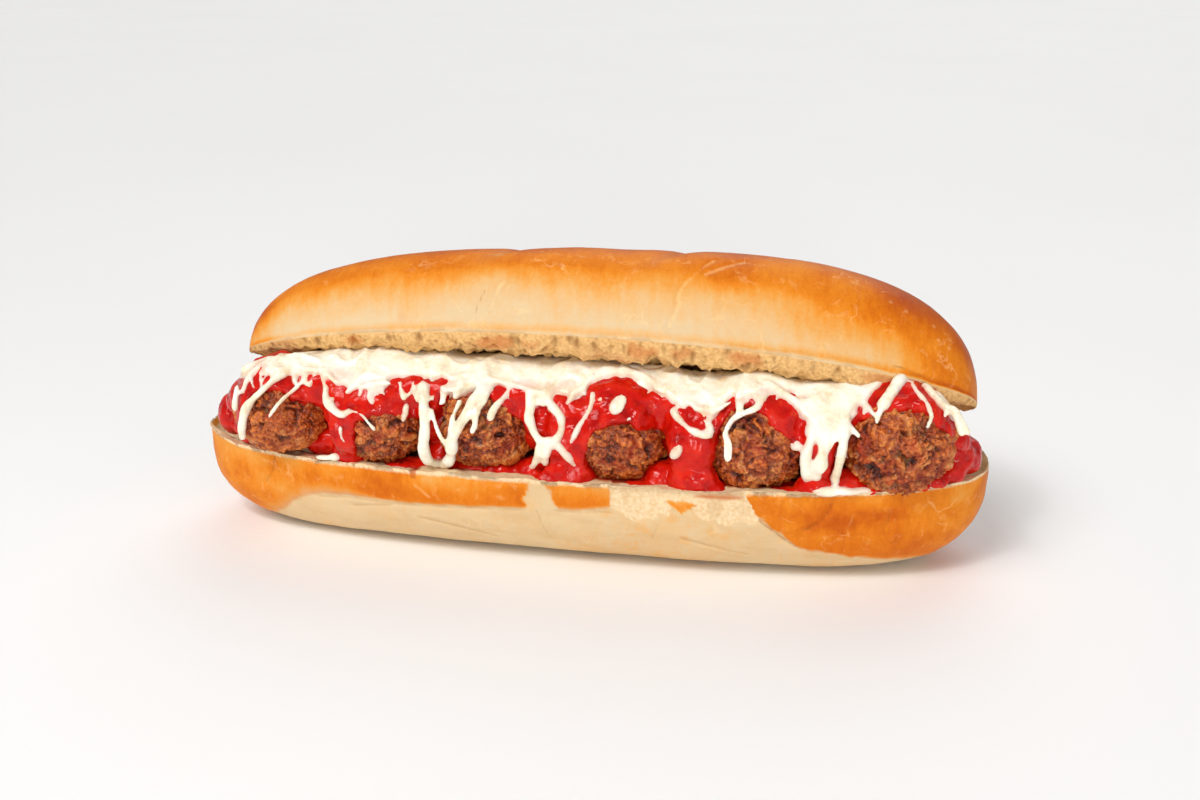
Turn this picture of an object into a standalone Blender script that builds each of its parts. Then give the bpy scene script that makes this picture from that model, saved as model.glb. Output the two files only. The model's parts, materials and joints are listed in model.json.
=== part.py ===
"""A meatball submarine sandwich: a split roll with six meatballs, tomato sauce and melted cheese.

The roll lies along X and its mouth opens towards -Y. Z is up. The lower half rests on a small
flat of its crust, and the upper half leans back on the filling. The origin is on the table,
under the middle of the sandwich's bounding box.
"""

import math

import bmesh
import bpy
from mathutils import Matrix, Vector, noise

# Driving dimensions, in metres. A "share" is a part of the size that it belongs to.
BOTTOM_LENGTH = 0.2835
BOTTOM_HALF_WIDTH = 0.0368
BOTTOM_HEIGHT = 0.0333  # from the table to the cut edge
BOTTOM_TIP_RISE = 0.001  # the cut edge lifts towards both tips
BOTTOM_BULK = 0.048  # the end at +X is higher than the middle by this share, the other end lower
TROUGH_DEPTH = 0.0090  # the cut face is pressed in under the meatballs

TOP_LENGTH = 0.2613
TOP_HALF_WIDTH = 0.0353
TOP_HEIGHT = 0.0379  # from the cut face to the crown
TOP_BULK = 0.13
TOP_DROOP = 0.008  # the tips sag over the filling
TOP_HOLLOW = 0.0045  # the cut face is dished
TOP_TILT = math.radians(29)  # the upper half leans back by this
TOP_ROLL = math.radians(1.4)  # and dips by this towards +X
TOP_REAR_EDGE = Vector((0.0053, 0.0371, 0.0470))  # middle of its rear cut edge

WIDENING = 0.14  # both halves are broader by this share at the +X end
PLAN_POWER = 2.5  # outline of the roll from above: higher is blunter
BOTTOM_CRUST_POWER = 7.6  # outline of the crust from the side
TOP_CRUST_POWER = 4.1
OUTLINE_ROOT = 2.5
BOTTOM_ROUNDNESS = 0.62  # section of the crust: 1 is a half circle, less is squarer
TOP_ROUNDNESS = 0.74
BASE_OVERDEPTH = 1.03  # the crust is cut flat where this would take it below the table

SCORE_PLACES = (-0.021, 0.038)  # two slashes across the crown, along X
SCORE_LEAN = 0.030  # a slash runs this far towards -X on its way down the front
SCORE_WIDTH = 0.005
SCORE_DEPTH_SHARE = 0.055

# Each meatball: its place along X, its height and its radius.
MEATBALLS = (
    (-0.1058, 0.0494, 0.0164),
    (-0.0687, 0.0478, 0.0164),
    (-0.0308, 0.0477, 0.0164),
    (0.0148, 0.0476, 0.0178),
    (0.0623, 0.0484, 0.0187),
    (0.1090, 0.0496, 0.0188),
)
MEATBALL_Y = -0.0175  # the row lies forward of the roll's middle
MEATBALL_LUMP_SHARE = 0.045
MEATBALL_LUMP_SIZE = 1.7

# Sauce and cheese blobs: centre (X, Y, Z), then the radius along X, Y and Z.
SAUCE_BED = ((0.003, 0.008, 0.0350, 0.116, 0.0220, 0.0110),)
SAUCE_RUNS = (
    (-0.1240, -0.0130, 0.0440, 0.0085, 0.0130, 0.0120),
    (-0.0875, -0.0210, 0.0430, 0.0055, 0.0120, 0.0130),
    (-0.0500, -0.0190, 0.0400, 0.0060, 0.0110, 0.0100),
    (-0.0085, -0.0215, 0.0415, 0.0090, 0.0125, 0.0110),
    (0.0385, -0.0215, 0.0440, 0.0100, 0.0150, 0.0150),
    (0.0860, -0.0200, 0.0440, 0.0060, 0.0130, 0.0140),
    (0.1270, -0.0130, 0.0460, 0.0085, 0.0150, 0.0130),
)
SAUCE_COAT = Vector((0.0, 0.0018, 0.0026))  # coats are the meatballs' spheres moved up and back
SAUCE_VOXEL = 0.0022
SAUCE_TRIANGLES = 720  # kept after fusing the blobs

CHEESE_THICKNESS = 0.0042  # over the crown of a meatball
CHEESE_VALLEY_SHARE = 0.84  # how far the sheet sinks between two meatballs
CHEESE_HEM_ON_BALL = math.radians(40)  # lower edge, as an angle above the horizontal
CHEESE_HEM_BETWEEN = math.radians(12)
CHEESE_LIFT_FROM = math.radians(68)  # past this angle the sheet rises to the upper half
CHEESE_LIFT_TO = math.radians(98)
CHEESE_REAR_ANGLE = math.radians(196)
CHEESE_REAR_INSET = 0.004  # from the edge of the roll
CHEESE_END_POWER = 9  # how late the sheet narrows towards its ends
CHEESE_INNER_SHARE = 0.70
CHEESE_REAR_THICKNESS = 0.011
CHEESE_VOXEL = 0.0016
CHEESE_TRIANGLES = 1100

# Cheese strands: a radius and the places (X, Z) that the strand passes on the front.
CHEESE_STRANDS = (
    (0.0017, ((-0.095, 0.066), (-0.107, 0.056), (-0.117, 0.046))),
    (0.0017, ((-0.089, 0.062), (-0.085, 0.054), (-0.082, 0.046))),
    (0.0016, ((-0.050, 0.060), (-0.048, 0.048), (-0.045, 0.038), (-0.040, 0.042), (-0.034, 0.058))),
    (0.0019, ((-0.012, 0.062), (-0.006, 0.053), (0.002, 0.042))),
    (0.0019, ((0.008, 0.063), (0.001, 0.052), (-0.008, 0.040))),
    (0.0017, ((0.039, 0.064), (0.043, 0.057), (0.047, 0.051))),
    (0.0034, ((0.082, 0.067), (0.087, 0.056), (0.088, 0.046), (0.086, 0.037))),
    (0.0026, ((0.092, 0.060), (0.093, 0.047), (0.097, 0.037))),
    (0.0017, ((0.117, 0.066), (0.123, 0.060), (0.128, 0.054))),
)
STRAND_STEPS = 5  # blobs in each length of a strand
SOFTEN_STEPS = 5  # of smoothing after fusing

GAP = 0.0004  # between neighbouring solids
SOCKET_GAP = 0.0009  # round a meatball, whose socket has fewer faces
SOCKET_KEEP = 0.36
RINGS = 34
RING_POINTS = 18
CHEESE_RINGS = 80

COLOURS = {
    "crust": ((0.80, 0.42, 0.12), 0.55),
    "meat": ((0.24, 0.08, 0.03), 0.60),
    "sauce": ((0.50, 0.03, 0.015), 0.25),
    "cheese": ((0.90, 0.80, 0.55), 0.35),
}


def clear_scene():
    for obj in list(bpy.data.objects):
        bpy.data.objects.remove(obj)


def new_collection(name):
    collection = bpy.data.collections.new(name)
    bpy.context.scene.collection.children.link(collection)
    return collection


def new_material(name):
    colour, roughness = COLOURS[name]
    material = bpy.data.materials.new(name)
    material.use_nodes = True
    shader = material.node_tree.nodes["Principled BSDF"]
    shader.inputs["Base Color"].default_value = (*colour, 1)
    shader.inputs["Roughness"].default_value = roughness
    shader.inputs["Metallic"].default_value = 0.0
    return material


def add_object(name, bm, material, collection):
    bmesh.ops.recalc_face_normals(bm, faces=bm.faces)
    mesh = bpy.data.meshes.new(name)
    bm.to_mesh(mesh)
    bm.free()
    mesh.shade_smooth()
    mesh.materials.append(material)
    obj = bpy.data.objects.new(name, mesh)
    collection.objects.link(obj)
    return obj


def squashed_sphere(rings, ring_points, shape):
    """A UV sphere with its poles on the X axis, each point moved to shape(along, angle).

    along runs from -1 to 1. angle is 0 at the front, 90 degrees on top and -90 underneath.
    """
    bm = bmesh.new()
    bmesh.ops.create_uvsphere(bm, u_segments=ring_points, v_segments=rings, radius=1)
    bmesh.ops.rotate(bm, verts=bm.verts, matrix=Matrix.Rotation(math.pi / 2, 3, "Y"))
    for vert in bm.verts:
        along = max(-1.0, min(1.0, vert.co.x))
        vert.co = shape(along, math.atan2(vert.co.z, -vert.co.y))
    return bm


def outline_share(along, power):
    """Superellipse: 1 in the middle of the roll, 0 at its tips."""
    return max(0.0, 1 - abs(along) ** power) ** (1 / OUTLINE_ROOT)


def width_share(along):
    return outline_share(along, PLAN_POWER) * (1 + WIDENING * along)


def rounded(value, power):
    return math.copysign(abs(value) ** power, value)


def bottom_edge(along):
    """Height of the lower half's cut edge."""
    return BOTTOM_HEIGHT * (1 + BOTTOM_BULK * along) + BOTTOM_TIP_RISE * abs(along) ** 3


def bottom_shape(along, angle):
    x = BOTTOM_LENGTH / 2 * along
    edge = bottom_edge(along)
    if angle >= 0:
        across = -math.cos(angle)
        z = edge - TROUGH_DEPTH * math.sqrt(width_share(along)) * (1 - abs(across) ** 3)
    else:
        across = -rounded(math.cos(angle), BOTTOM_ROUNDNESS)
        depth = edge * BASE_OVERDEPTH * outline_share(along, BOTTOM_CRUST_POWER)
        z = max(0.0, edge - depth * abs(math.sin(angle)) ** BOTTOM_ROUNDNESS)
    return Vector((x, BOTTOM_HALF_WIDTH * width_share(along) * across, z))


def score_share(x, angle):
    """How much of the crown a slash leaves: 1 away from both slashes."""
    down_the_front = max(0.0, math.cos(angle))
    depth = 0.0
    for place in SCORE_PLACES:
        distance = (x - place + SCORE_LEAN * down_the_front) / SCORE_WIDTH
        depth += SCORE_DEPTH_SHARE * math.exp(-(distance**2)) * math.sin(angle) ** 2
    return 1 - depth


def top_shape(along, angle):
    """The upper half in its own frame, with its rear cut edge near the X axis."""
    x = TOP_LENGTH / 2 * along
    if angle <= 0:
        across = -math.cos(angle)
        z = TOP_HOLLOW * width_share(along) * (1 - across**2)
    else:
        across = -rounded(math.cos(angle), TOP_ROUNDNESS)
        crown = TOP_HEIGHT * (1 + TOP_BULK * along) * outline_share(along, TOP_CRUST_POWER)
        z = crown * abs(math.sin(angle)) ** TOP_ROUNDNESS * score_share(x, angle)
    y = TOP_HALF_WIDTH * (width_share(along) * across - 1)
    return Vector((x, y, z - TOP_DROOP * abs(along) ** 2.2))


def place_top(obj):
    obj.location = TOP_REAR_EDGE
    obj.rotation_euler = (-TOP_TILT, TOP_ROLL, 0)


def meatball(index, radius):
    """An icosphere with soft lumps, about its own centre."""
    bm = bmesh.new()
    bmesh.ops.create_icosphere(bm, subdivisions=3, radius=radius)
    for vert in bm.verts:
        direction = vert.co.normalized()
        lump = noise.noise(direction * MEATBALL_LUMP_SIZE + Vector((7.3 * index, 0, 0)))
        vert.co = direction * radius * (1 + MEATBALL_LUMP_SHARE * lump)
    return bm


def ellipsoid(bm, centre, radii, segments=24):
    """A sphere stretched to its three radii, added to bm."""
    place = Matrix.Translation(centre) @ Matrix.Diagonal((*radii, 1))
    bmesh.ops.create_uvsphere(bm, u_segments=segments, v_segments=segments // 2, radius=1, matrix=place)


def baked(obj):
    """The object's mesh with its modifiers applied."""
    bpy.context.view_layer.update()
    graph = bpy.context.evaluated_depsgraph_get()
    return bpy.data.meshes.new_from_object(obj.evaluated_get(graph))


def replace_mesh(obj, mesh):
    obj.modifiers.clear()
    obj.data = mesh


def fused(obj, voxel, triangles):
    """Fuses an object's overlapping shapes into one skin and thins it out."""
    fuse = obj.modifiers.new("fuse", "REMESH")
    fuse.mode = "VOXEL"
    fuse.voxel_size = voxel
    soften = obj.modifiers.new("soften", "SMOOTH")
    soften.iterations = SOFTEN_STEPS
    replace_mesh(obj, baked(obj))
    thin = obj.modifiers.new("thin", "DECIMATE")
    thin.ratio = triangles / (2 * len(obj.data.polygons))
    replace_mesh(obj, baked(obj))
    return obj


def sauce_blank(material, collection):
    """Bed, runs and coats of the sauce as blobs, fused into one skin."""
    bm = bmesh.new()
    for x, y, z, *radii in SAUCE_BED + SAUCE_RUNS:
        ellipsoid(bm, Vector((x, y, z)), radii)
    for x, z, radius in MEATBALLS:
        ellipsoid(bm, Vector((x, MEATBALL_Y, z)) + SAUCE_COAT, [radius] * 3)
    return fused(add_object("sauce", bm, material, collection), SAUCE_VOXEL, SAUCE_TRIANGLES)


def mean_height():
    return sum(z for _, z, _ in MEATBALLS) / len(MEATBALLS)


def mix(a, b, share):
    return a + (b - a) * share


def smooth_step(value, low, high):
    t = max(0.0, min(1.0, (value - low) / (high - low)))
    return t * t * (3 - 2 * t)


def under_top(x, bearing):
    """Where a ray from the meatballs' axis meets the upper cut face.

    Gives the distance along the ray, and how far inside the cut face's outline it arrives.
    """
    along = (x - TOP_REAR_EDGE.x) / (TOP_LENGTH / 2)
    sag = TOP_DROOP * abs(along) ** 2.2 + (x - TOP_REAR_EDGE.x) * math.tan(TOP_ROLL)
    edge = Vector((TOP_REAR_EDGE.y, TOP_REAR_EDGE.z - sag))
    axis = Vector((MEATBALL_Y, mean_height()))
    normal = Vector((-math.sin(TOP_TILT), -math.cos(TOP_TILT)))
    forward = Vector((-math.cos(TOP_TILT), math.sin(TOP_TILT)))
    ray = Vector((-math.cos(bearing), math.sin(bearing)))
    if ray.dot(normal) >= 0 or abs(along) >= 1:
        return math.inf, -1.0
    distance = (edge - axis).dot(normal) / ray.dot(normal)
    across = (axis + ray * distance - edge).dot(forward) / TOP_HALF_WIDTH - 1
    return distance, width_share(along) - abs(across)


def over_filling(x):
    """Radius of the cheese sheet round the meatballs' axis, and how far x is from a meatball."""
    place, _, radius = min(MEATBALLS, key=lambda ball: abs(x - ball[0]))
    full = radius + CHEESE_THICKNESS
    if not MEATBALLS[0][0] < x < MEATBALLS[-1][0]:
        return math.sqrt(max(0.0, full**2 - (x - place) ** 2)), 0.0
    between = min(1.0, abs(x - place) / radius)
    return full * mix(1.0, CHEESE_VALLEY_SHARE, between**2), between


def cheese_shape(along, angle):
    """The cheese sheet round the meatballs' axis: its outer side for angle above 0, else its inner."""
    low = MEATBALLS[0][0] - MEATBALLS[0][2] - CHEESE_THICKNESS
    high = MEATBALLS[-1][0] + MEATBALLS[-1][2] + CHEESE_THICKNESS
    x = mix(low, high, (along + 1) / 2)
    reach, between = over_filling(x)
    share = outline_share(along, CHEESE_END_POWER)
    hem = mix(CHEESE_HEM_ON_BALL, CHEESE_HEM_BETWEEN, between**3)
    middle = math.radians(95)
    start = mix(middle, hem, share)
    end = mix(middle, CHEESE_REAR_ANGLE, share)
    bearing = mix(start, end, abs(angle) / math.pi)
    far, inside = under_top(x, bearing)
    lift = smooth_step(bearing, CHEESE_LIFT_FROM, CHEESE_LIFT_TO) * smooth_step(inside, -0.1, 0.2)
    roll_edge = BOTTOM_HALF_WIDTH * width_share(x / (BOTTOM_LENGTH / 2)) - CHEESE_REAR_INSET
    rear = (roll_edge - MEATBALL_Y) / max(0.05, -math.cos(bearing))
    outer = min(mix(reach, min(far + TOP_HOLLOW, 1.0), lift), max(rear, reach)) * (share > 0)
    inner = max(CHEESE_INNER_SHARE * min(outer, reach), outer - CHEESE_REAR_THICKNESS)
    distance = outer if angle >= 0 else inner
    y = MEATBALL_Y - distance * math.cos(bearing)
    return Vector((x, y, mean_height() + distance * math.sin(bearing)))


def front_of_filling(x, z):
    """How far forward the meatballs and the sauce come at a place seen from the front."""
    shapes = [(bx, MEATBALL_Y, bz, radius, radius, radius) for bx, bz, radius in MEATBALLS]
    front = MEATBALL_Y
    for cx, cy, cz, rx, ry, rz in shapes + list(SAUCE_RUNS):
        inside = 1 - ((x - cx) / rx) ** 2 - ((z - cz) / rz) ** 2
        if inside > 0:
            front = min(front, cy - ry * math.sqrt(inside))
    return front


def cheese_blank(material, collection):
    """The sheet and its strands, fused into one skin."""
    bm = squashed_sphere(CHEESE_RINGS, RING_POINTS, cheese_shape)
    for radius, route in CHEESE_STRANDS:
        for (x0, z0), (x1, z1) in zip(route, route[1:]):
            for step in range(STRAND_STEPS + 1):
                x = mix(x0, x1, step / STRAND_STEPS)
                z = mix(z0, z1, step / STRAND_STEPS)
                ellipsoid(bm, Vector((x, front_of_filling(x, z), z)), [radius] * 3, segments=10)
    return fused(add_object("cheese", bm, material, collection), CHEESE_VOXEL, CHEESE_TRIANGLES)


def cutter(source, collection, grow=GAP, keep=1.0):
    """A hidden copy of a solid with this share of its faces, grown to leave a gap."""
    obj = bpy.data.objects.new(source.name + "_cutter", source.data.copy())
    obj.matrix_world = source.matrix_world
    obj.hide_render = True
    obj.display_type = "WIRE"
    collection.objects.link(obj)
    thin = obj.modifiers.new("thin", "DECIMATE")
    thin.ratio = keep
    swell = obj.modifiers.new("swell", "DISPLACE")
    swell.strength = grow
    swell.mid_level = 0.0
    return obj


def cut_with(obj, cutters):
    """Removes from a solid all that the cutters hold, and any crumbs that this leaves."""
    for index, other in enumerate(cutters):
        cut = obj.modifiers.new(f"cut_{index}", "BOOLEAN")
        cut.operation = "DIFFERENCE"
        cut.solver = "MANIFOLD"
        cut.object = other
    replace_mesh(obj, baked(obj))
    keep_largest_body(obj.data)


def keep_largest_body(mesh):
    bm = bmesh.new()
    bm.from_mesh(mesh)
    left = set(bm.verts)
    bodies = []
    while left:
        seed = left.pop()
        body, front = {seed}, [seed]
        while front:
            for edge in front.pop().link_edges:
                for vert in edge.verts:
                    if vert not in body:
                        body.add(vert)
                        front.append(vert)
        left -= body
        bodies.append(body)
    largest = max(bodies, key=len)
    crumbs = [vert for body in bodies if body is not largest for vert in body]
    bmesh.ops.delete(bm, geom=crumbs, context="VERTS")
    bm.to_mesh(mesh)
    bm.free()


def stand_at_origin(objects):
    """Moves the sandwich so that the origin is under the middle of its bounding box."""
    bpy.context.view_layer.update()
    points = [obj.matrix_world @ vert.co for obj in objects for vert in obj.data.vertices]
    low = Vector([min(p[axis] for p in points) for axis in range(3)])
    high = Vector([max(p[axis] for p in points) for axis in range(3)])
    shift = Vector((-(low.x + high.x) / 2, -(low.y + high.y) / 2, -low.z))
    for obj in objects:
        obj.location += shift
    print("shift", [round(v * 1000, 2) for v in shift], "size", [round(v * 1000, 1) for v in high - low])


def main():
    clear_scene()
    parts = new_collection("meatball_submarine_sandwich")
    helpers = new_collection("cutters")
    materials = {name: new_material(name) for name in COLOURS}

    bm = squashed_sphere(RINGS, RING_POINTS, bottom_shape)
    bottom = add_object("bun_bottom", bm, materials["crust"], parts)
    bm = squashed_sphere(RINGS, RING_POINTS, top_shape)
    top = add_object("bun_top", bm, materials["crust"], parts)
    place_top(top)

    balls = []
    for index, (x, z, radius) in enumerate(MEATBALLS, start=1):
        ball = add_object(f"meatball_{index}", meatball(index, radius), materials["meat"], parts)
        ball.location = (x, MEATBALL_Y, z)
        balls.append(ball)
    bpy.context.view_layer.update()

    sauce = sauce_blank(materials["sauce"], parts)
    cheese = cheese_blank(materials["cheese"], parts)
    cutters = [cutter(ball, helpers, SOCKET_GAP, SOCKET_KEEP) for ball in balls]
    cutters += [cutter(bun, helpers) for bun in (bottom, top)]
    sauce_cutter = cutter(sauce, helpers, SOCKET_GAP)
    cut_with(sauce, cutters)
    cut_with(cheese, [sauce_cutter, *cutters])
    stand_at_origin([bottom, top, *balls, sauce, cheese])


main()
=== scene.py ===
import json
import math

import bmesh
import bpy
import numpy as np
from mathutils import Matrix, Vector
from mathutils.bvhtree import BVHTree

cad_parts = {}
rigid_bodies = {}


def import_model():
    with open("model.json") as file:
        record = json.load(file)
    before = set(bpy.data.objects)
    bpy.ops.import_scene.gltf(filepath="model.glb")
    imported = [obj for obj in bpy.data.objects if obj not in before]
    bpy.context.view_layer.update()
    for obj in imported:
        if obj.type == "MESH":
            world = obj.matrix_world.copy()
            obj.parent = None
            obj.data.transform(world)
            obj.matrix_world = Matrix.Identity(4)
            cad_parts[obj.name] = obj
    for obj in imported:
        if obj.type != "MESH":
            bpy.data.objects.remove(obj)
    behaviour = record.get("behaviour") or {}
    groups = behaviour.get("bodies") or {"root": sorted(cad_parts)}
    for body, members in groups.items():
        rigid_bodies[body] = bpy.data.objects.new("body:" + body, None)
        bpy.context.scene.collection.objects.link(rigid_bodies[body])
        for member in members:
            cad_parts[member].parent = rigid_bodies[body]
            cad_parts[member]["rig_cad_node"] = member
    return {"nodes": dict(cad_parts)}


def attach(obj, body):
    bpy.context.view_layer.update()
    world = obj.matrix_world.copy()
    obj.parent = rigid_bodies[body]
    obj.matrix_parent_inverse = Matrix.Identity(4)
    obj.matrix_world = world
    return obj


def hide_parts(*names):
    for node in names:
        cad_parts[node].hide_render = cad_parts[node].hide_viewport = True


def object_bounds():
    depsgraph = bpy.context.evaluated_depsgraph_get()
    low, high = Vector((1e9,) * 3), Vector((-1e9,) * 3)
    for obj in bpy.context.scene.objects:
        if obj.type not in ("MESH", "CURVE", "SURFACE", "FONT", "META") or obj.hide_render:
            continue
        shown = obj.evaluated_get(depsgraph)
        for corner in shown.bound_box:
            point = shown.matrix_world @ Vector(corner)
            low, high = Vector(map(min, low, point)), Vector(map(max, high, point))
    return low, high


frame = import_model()

cadLow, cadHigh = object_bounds()

# every piece is laid out in millimetres on the bench, then moved into the frame
mm = 0.001
benchShift = np.array([0.0, -3.97, 0.0])
roomInside = 0.05   # how far inside the frame's box a piece stays, mm


# small tools

def blend(low, high, value):
    share = np.clip((value - low) / (high - low), 0, 1)
    return share * share * (3 - 2 * share)


def alongTable(table, value):
    table = np.array(table, float)
    return np.interp(value, table[:, 0], table[:, 1])


def latticeValues(cells, seed):
    cells = cells.astype(np.int64).astype(np.uint32)
    mixed = (cells[:, 0] * np.uint32(374761393) + cells[:, 1] * np.uint32(668265263)
             + cells[:, 2] * np.uint32(2246822519) + np.uint32((seed * 3266489917) % 4294967296))
    mixed = (mixed ^ (mixed >> np.uint32(15))) * np.uint32(2246822519)
    mixed = (mixed ^ (mixed >> np.uint32(13))) * np.uint32(3266489917)
    return (mixed ^ (mixed >> np.uint32(16))).astype(float) / 4294967295


def softNoise(points, size, seed):
    spots = points / size
    cells = np.floor(spots)
    part = spots - cells
    part = part ** 3 * (part * (part * 6 - 15) + 10)
    total = np.zeros(len(points))
    for corner in range(8):
        step = np.array([corner & 1, corner >> 1 & 1, corner >> 2 & 1])
        weight = np.prod(np.where(step == 1, part, 1 - part), axis=1)
        total += weight * latticeValues(cells + step, seed)
    return total * 2 - 1


def layeredNoise(points, size, seed, layers=4, fade=0.5):
    turn = np.array([[0.8, 0.6, 0], [-0.48, 0.64, 0.6], [0.36, -0.48, 0.8]])
    total, strength = np.zeros(len(points)), 1.0
    spots = points
    for layer in range(layers):
        total += strength * softNoise(spots, size, seed + layer)
        spots, size, strength = spots @ turn + 17.3, size * 0.5, strength * fade
    return total


def grains(points, size, seed):
    spots = points / size
    cells = np.floor(spots)
    nearest = np.full(len(points), 9.0)
    second = np.full(len(points), 9.0)
    tone = np.zeros(len(points))
    for x in (-1, 0, 1):
        for y in (-1, 0, 1):
            for z in (-1, 0, 1):
                cell = cells + np.array([x, y, z])
                seat = cell + np.stack([latticeValues(cell, seed + k) for k in range(3)], 1)
                away = np.linalg.norm(spots - seat, axis=1)
                closer = away < nearest
                second = np.where(closer, nearest, np.minimum(second, away))
                tone = np.where(closer, latticeValues(cell, seed + 7), tone)
                nearest = np.where(closer, away, nearest)
    return nearest, second, tone


def linkPiece(name, mesh):
    piece = bpy.data.objects.new(name, mesh)
    bpy.context.scene.collection.objects.link(piece)
    return piece


def meshFrom(name, points, faces):
    mesh = bpy.data.meshes.new(name)
    mesh.from_pydata(((points + benchShift) * mm).tolist(), [], faces)
    mesh.validate()
    mesh.update()
    return mesh


def readPoints(mesh):
    numbers = np.empty(len(mesh.vertices) * 3, np.float32)
    mesh.vertices.foreach_get("co", numbers)
    return numbers.reshape(-1, 3).astype(float) / mm - benchShift


def readNormals(mesh):
    numbers = np.empty(len(mesh.vertices) * 3, np.float32)
    mesh.vertices.foreach_get("normal", numbers)
    return numbers.reshape(-1, 3).astype(float)


def writePoints(mesh, points):
    low = np.array(cadLow) / mm + roomInside
    high = np.array(cadHigh) / mm - roomInside
    placed = np.clip(points + benchShift, low, high) * mm
    mesh.vertices.foreach_set("co", placed.astype(np.float32).ravel())
    mesh.update()


def keepValues(mesh, label, values):
    layer = mesh.attributes.new(label, "FLOAT", "POINT")
    layer.data.foreach_set("value", values.astype(np.float32))


def gridFaces(rows, columns, first=0, closed=True):
    row = np.arange(rows - 1)[:, None]
    column = np.arange(columns if closed else columns - 1)[None]
    after = (column + 1) % columns
    quads = np.stack([row * columns + column, row * columns + after,
                      (row + 1) * columns + after, (row + 1) * columns + column], -1)
    return (quads.reshape(-1, 4) + first).tolist()


def loftMesh(name, rings):
    rows, columns = rings.shape[:2]
    points = rings.reshape(-1, 3)
    faces = gridFaces(rows, columns)
    ends = np.stack([rings[0].mean(0), rings[-1].mean(0)])
    points = np.vstack([points, ends])
    for k in range(columns):
        after = (k + 1) % columns
        faces.append([rows * columns, after, k])
        faces.append([rows * columns + 1, (rows - 1) * columns + k, (rows - 1) * columns + after])
    return meshFrom(name, points, [face[::-1] for face in faces])


def lineDistance(points, line):
    nearest = np.full(len(points), 99.0)
    for start, end in zip(line[:-1], line[1:]):
        run = end - start
        share = np.clip(((points - start) @ run) / max(run @ run, 1e-9), 0, 1)
        nearest = np.minimum(nearest, np.linalg.norm(points - start - share[:, None] * run, axis=1))
    return nearest


def applied(piece):
    bpy.context.view_layer.update()
    graph = bpy.context.evaluated_depsgraph_get()
    finished = bpy.data.meshes.new_from_object(piece.evaluated_get(graph))
    old = piece.data
    piece.modifiers.clear()
    piece.data = finished
    bpy.data.meshes.remove(old)
    return piece


def fused(piece, voxel, smoothing, factor=0.5, triangles=None):
    remesh = piece.modifiers.new("fuse", "REMESH")
    remesh.mode, remesh.voxel_size = "VOXEL", voxel * mm
    smooth = piece.modifiers.new("soften", "SMOOTH")
    smooth.factor, smooth.iterations = factor, smoothing
    applied(piece)
    count = sum(len(face.vertices) - 2 for face in piece.data.polygons)
    if triangles and count > triangles:
        thin = piece.modifiers.new("thin", "DECIMATE")
        thin.ratio = triangles / count
        applied(piece)
    print("fused", piece.name, len(piece.data.polygons), "faces")
    return piece


def settle(piece, slotName, *nodes):
    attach(piece, "root")
    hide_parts(*nodes)
    piece.data.polygons.foreach_set("use_smooth", [True] * len(piece.data.polygons))
    print("made", piece.name, len(piece.data.polygons), "faces")


# shader helpers

def newMaterial(name):
    material = bpy.data.materials.new(name)
    material.use_nodes = True
    tree = material.node_tree
    tree.nodes.clear()
    output = tree.nodes.new("ShaderNodeOutputMaterial")
    shader = tree.nodes.new("ShaderNodeBsdfPrincipled")
    tree.links.new(shader.outputs[0], output.inputs[0])
    return material, tree, shader


def noiseNode(tree, coords, scale, detail=4, roughness=0.55, distortion=0.0):
    node = tree.nodes.new("ShaderNodeTexNoise")
    tree.links.new(coords, node.inputs["Vector"])
    node.inputs["Scale"].default_value = scale
    node.inputs["Detail"].default_value = detail
    node.inputs["Roughness"].default_value = roughness
    node.inputs["Distortion"].default_value = distortion
    return node.outputs["Fac"]


def ramp(tree, value, stops, smooth=False):
    node = tree.nodes.new("ShaderNodeValToRGB")
    tree.links.new(value, node.inputs[0])
    node.color_ramp.interpolation = "EASE" if smooth else "LINEAR"
    elements = node.color_ramp.elements
    while len(elements) < len(stops):
        elements.new(0.5)
    for element, (place, colour) in zip(elements, stops):
        element.position = place
        element.color = (*colour, 1) if len(colour) == 3 else colour
    return node.outputs["Color"]


def mathNode(tree, operation, first, second=None, third=None):
    node = tree.nodes.new("ShaderNodeMath")
    node.operation = operation
    for socket, value in zip(node.inputs, (first, second, third)):
        if value is None:
            continue
        if isinstance(value, (int, float)):
            socket.default_value = value
        else:
            tree.links.new(value, socket)
    return node.outputs[0]


def mixColours(tree, share, first, second, way="MIX"):
    node = tree.nodes.new("ShaderNodeMix")
    node.data_type, node.blend_type = "RGBA", way
    for socket, value in ((node.inputs[0], share), (node.inputs[6], first), (node.inputs[7], second)):
        if isinstance(value, (int, float)):
            socket.default_value = value
        elif isinstance(value, tuple):
            socket.default_value = (*value, 1)
        else:
            tree.links.new(value, socket)
    return node.outputs[2]


def keptValue(tree, label):
    node = tree.nodes.new("ShaderNodeAttribute")
    node.attribute_name = label
    return node.outputs["Fac"]


def spread(tree, value, low, high, toLow=0.0, toHigh=1.0):
    node = tree.nodes.new("ShaderNodeMapRange")
    tree.links.new(value, node.inputs["Value"])
    for name, number in (("From Min", low), ("From Max", high), ("To Min", toLow), ("To Max", toHigh)):
        node.inputs[name].default_value = number
    return node.outputs["Result"]


def bumped(tree, height, strength, distance, after=None):
    node = tree.nodes.new("ShaderNodeBump")
    tree.links.new(height, node.inputs["Height"])
    node.inputs["Strength"].default_value = strength
    node.inputs["Distance"].default_value = distance
    if after is not None:
        tree.links.new(after, node.inputs["Normal"])
    return node.outputs["Normal"]


def objectCoords(tree):
    return tree.nodes.new("ShaderNodeTexCoord").outputs["Object"]


def seen(red, green, blue):
    channels = [v / 255 for v in (red, green, blue)]
    return tuple(v / 12.92 if v <= 0.04045 else ((v + 0.055) / 1.055) ** 2.4 for v in channels)


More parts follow.
